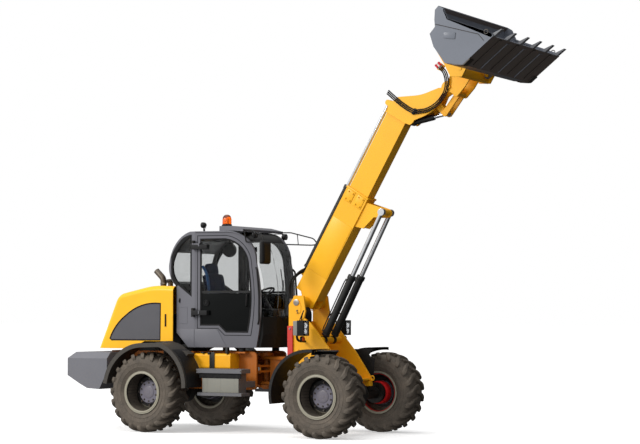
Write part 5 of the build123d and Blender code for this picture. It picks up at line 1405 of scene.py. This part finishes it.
def cab_trim():
    """Black bands round the rear windows, the fan with its guard and the seat's paler bolster."""
    for side, hand in SIDES:
        back = partial(rear_wall, hand)
        inner = path((-835, 2655), ((-1075, 2500), (-1190, 2300)), ((-1183, 2160), (-1118, 2048)),
            (-1072, 1998))
        outer = []
        for k, (x, z) in enumerate(inner):
            ax, az = inner[max(0, k - 1)]
            bx, bz = inner[min(len(inner) - 1, k + 1)]
            span = math.hypot(bx - ax, bz - az)
            reach = 44 * min(1, 0.45 + k / 4)
            outer.append((x + (bz - az) / span * reach, z - (bx - ax) / span * reach))
        bm = bmesh.new()
        low, high = ([[bm.verts.new(back(*place, lift)) for place in pair] for pair in zip(inner, outer)]
                     for lift in (0.5, 4.5))
        for k in range(len(inner) - 1):
            for (a, b), (c, d) in ((low[k], low[k + 1]), (high[k], high[k + 1])):
                bm.faces.new((a, b, d, c))
            bm.faces.new((low[k][0], low[k + 1][0], high[k + 1][0], high[k][0]))
            bm.faces.new((low[k][1], low[k + 1][1], high[k + 1][1], high[k][1]))
        for k in (0, -1):
            bm.faces.new((low[k][0], low[k][1], high[k][1], high[k][0]))
        finish_mesh(f"quarter_band_{side}", bm, "chassis", SOFT_BLACK, 40)
    bm = bmesh.new()
    centre = P(-395, -330, 2462)
    face = Vector((0.45, -0.85, -0.1)).normalized()
    closed_lathe(bm, centre, face, [(0, 0.090), (-0.012, 0.098), (-0.045, 0.094), (-0.052, 0.084),
        (-0.045, 0.080), (0, 0.084)], 36)
    u, v = frame_on(face)[1:]
    for k in range(7):
        add_tube(bm, circle(centre, u, v, 0.012 + 0.0115 * k, 24), 0.0026, 6, True)
    add_lathe(bm, centre - face * 0.06, face, [(0, 0), (0, 0.05), (0.045, 0.055), (0.05, 0.078),
        (0.052, 0)], 24)
    add_tube(bm, [centre - face * 0.03 + Vector((0, 0, rise)) for rise in (0.09, 0.15)], 0.010, 8)
    finish_mesh("side_fan", bm, "chassis", SOFT_BLACK, 40)
    rail = ((-902, -232, 2250), (-868, -236, 2215), (-822, -238, 2130), (-800, -238, 2030),
        (-792, -236, 1940), (-800, -232, 1880))
    bolster = smooth_line([P(*place) for place in rail], 6)
    bar("seat_bolster", "chassis", SEAT_EDGE, bolster, 0.020, 12, smooth=180)


DETAILS = (wheel_parts, cab_walls, beacon, roof_lamps, mirrors, seat, controls, windscreen_parts,
    rear_parts, steps_detail, head_lamps, tower_parts, boom_sides, boom_fittings, bucket_parts, head_loop,
    boom_foot_hoses, tower_hoses, skirts, bucket_side, cab_trim)


# ------------------------------------------------------------------ stage
LENS_MM = 103.17
CAMERA_PLACE = (13.320 - ORIGIN_X, -21.155, 1.597)
CAMERA_TURN = (math.radians(92.87), 0, math.radians(30.54))


def stage():
    """Pale floor, soft lights and the camera at the photo's angle."""
    bpy.ops.mesh.primitive_plane_add(size=400, location=(0, 0, 0))
    floor = bpy.context.object
    floor.name = "floor"
    n = Nodes("floor_paper")
    floor.data.materials.append(n.set(
        Base_Color=(0.9, 0.9, 0.9, 1), Roughness=0.95, Emission_Color=(1, 1, 1, 1), Emission_Strength=0.42))
    floor.visible_diffuse = floor.visible_glossy = False
    world = bpy.data.worlds.new("studio")
    bpy.context.scene.world = world
    world.use_nodes = True
    tree = world.node_tree
    back = tree.nodes["Background"]
    way = tree.nodes.new("ShaderNodeTexCoord").outputs["Generated"]
    dot = tree.nodes.new("ShaderNodeVectorMath")
    dot.operation = "DOT_PRODUCT"
    tree.links.new(way, dot.inputs[0])
    dot.inputs[1].default_value = (-0.45, -0.62, 0.64)
    soft = tree.nodes.new("ShaderNodeMapRange")
    soft.inputs["From Min"].default_value = -0.35
    soft.inputs["From Max"].default_value = 0.70
    soft.inputs["To Min"].default_value = 0.07
    soft.inputs["To Max"].default_value = 1.05
    tree.links.new(dot.outputs["Value"], soft.inputs["Value"])
    path = tree.nodes.new("ShaderNodeLightPath")
    seen = tree.nodes.new("ShaderNodeMath")
    seen.operation = "MAXIMUM"
    tree.links.new(path.outputs["Is Camera Ray"], seen.inputs[0])
    tree.links.new(path.outputs["Is Transmission Ray"], seen.inputs[1])
    level = tree.nodes.new("ShaderNodeMix")
    tree.links.new(seen.outputs[0], level.inputs[0])
    tree.links.new(soft.outputs[0], level.inputs[2])
    level.inputs[3].default_value = 1.0
    tree.links.new(level.outputs[0], back.inputs["Strength"])
    back.inputs["Color"].default_value = (1, 1, 1, 1)
    for name, place, aim, size, power, tint in (
            ("key", (-10, -16, 11), (0, 0, 1.8), 5, 2300, (1, 0.98, 0.95)),
            ("top", (-2, -1, 14), (0, 0, 1), 9, 500, (1, 1, 1))):
        data = bpy.data.lights.new(name, "AREA")
        data.size = size
        data.energy = power
        data.color = tint
        lamp = bpy.data.objects.new(name, data)
        bpy.context.scene.collection.objects.link(lamp)
        lamp.location = place
        lamp.rotation_euler = (Vector(aim) - Vector(place)).to_track_quat("-Z", "Y").to_euler()
    data = bpy.data.cameras.new("camera")
    data.sensor_width = 36
    data.lens = LENS_MM
    camera = bpy.data.objects.new("camera", data)
    bpy.context.scene.collection.objects.link(camera)
    camera.location = CAMERA_PLACE
    camera.rotation_euler = CAMERA_TURN
    bpy.context.scene.camera = camera
    bpy.context.scene.view_settings.view_transform = "Standard"


stage()
for detail in DETAILS:
    detail()
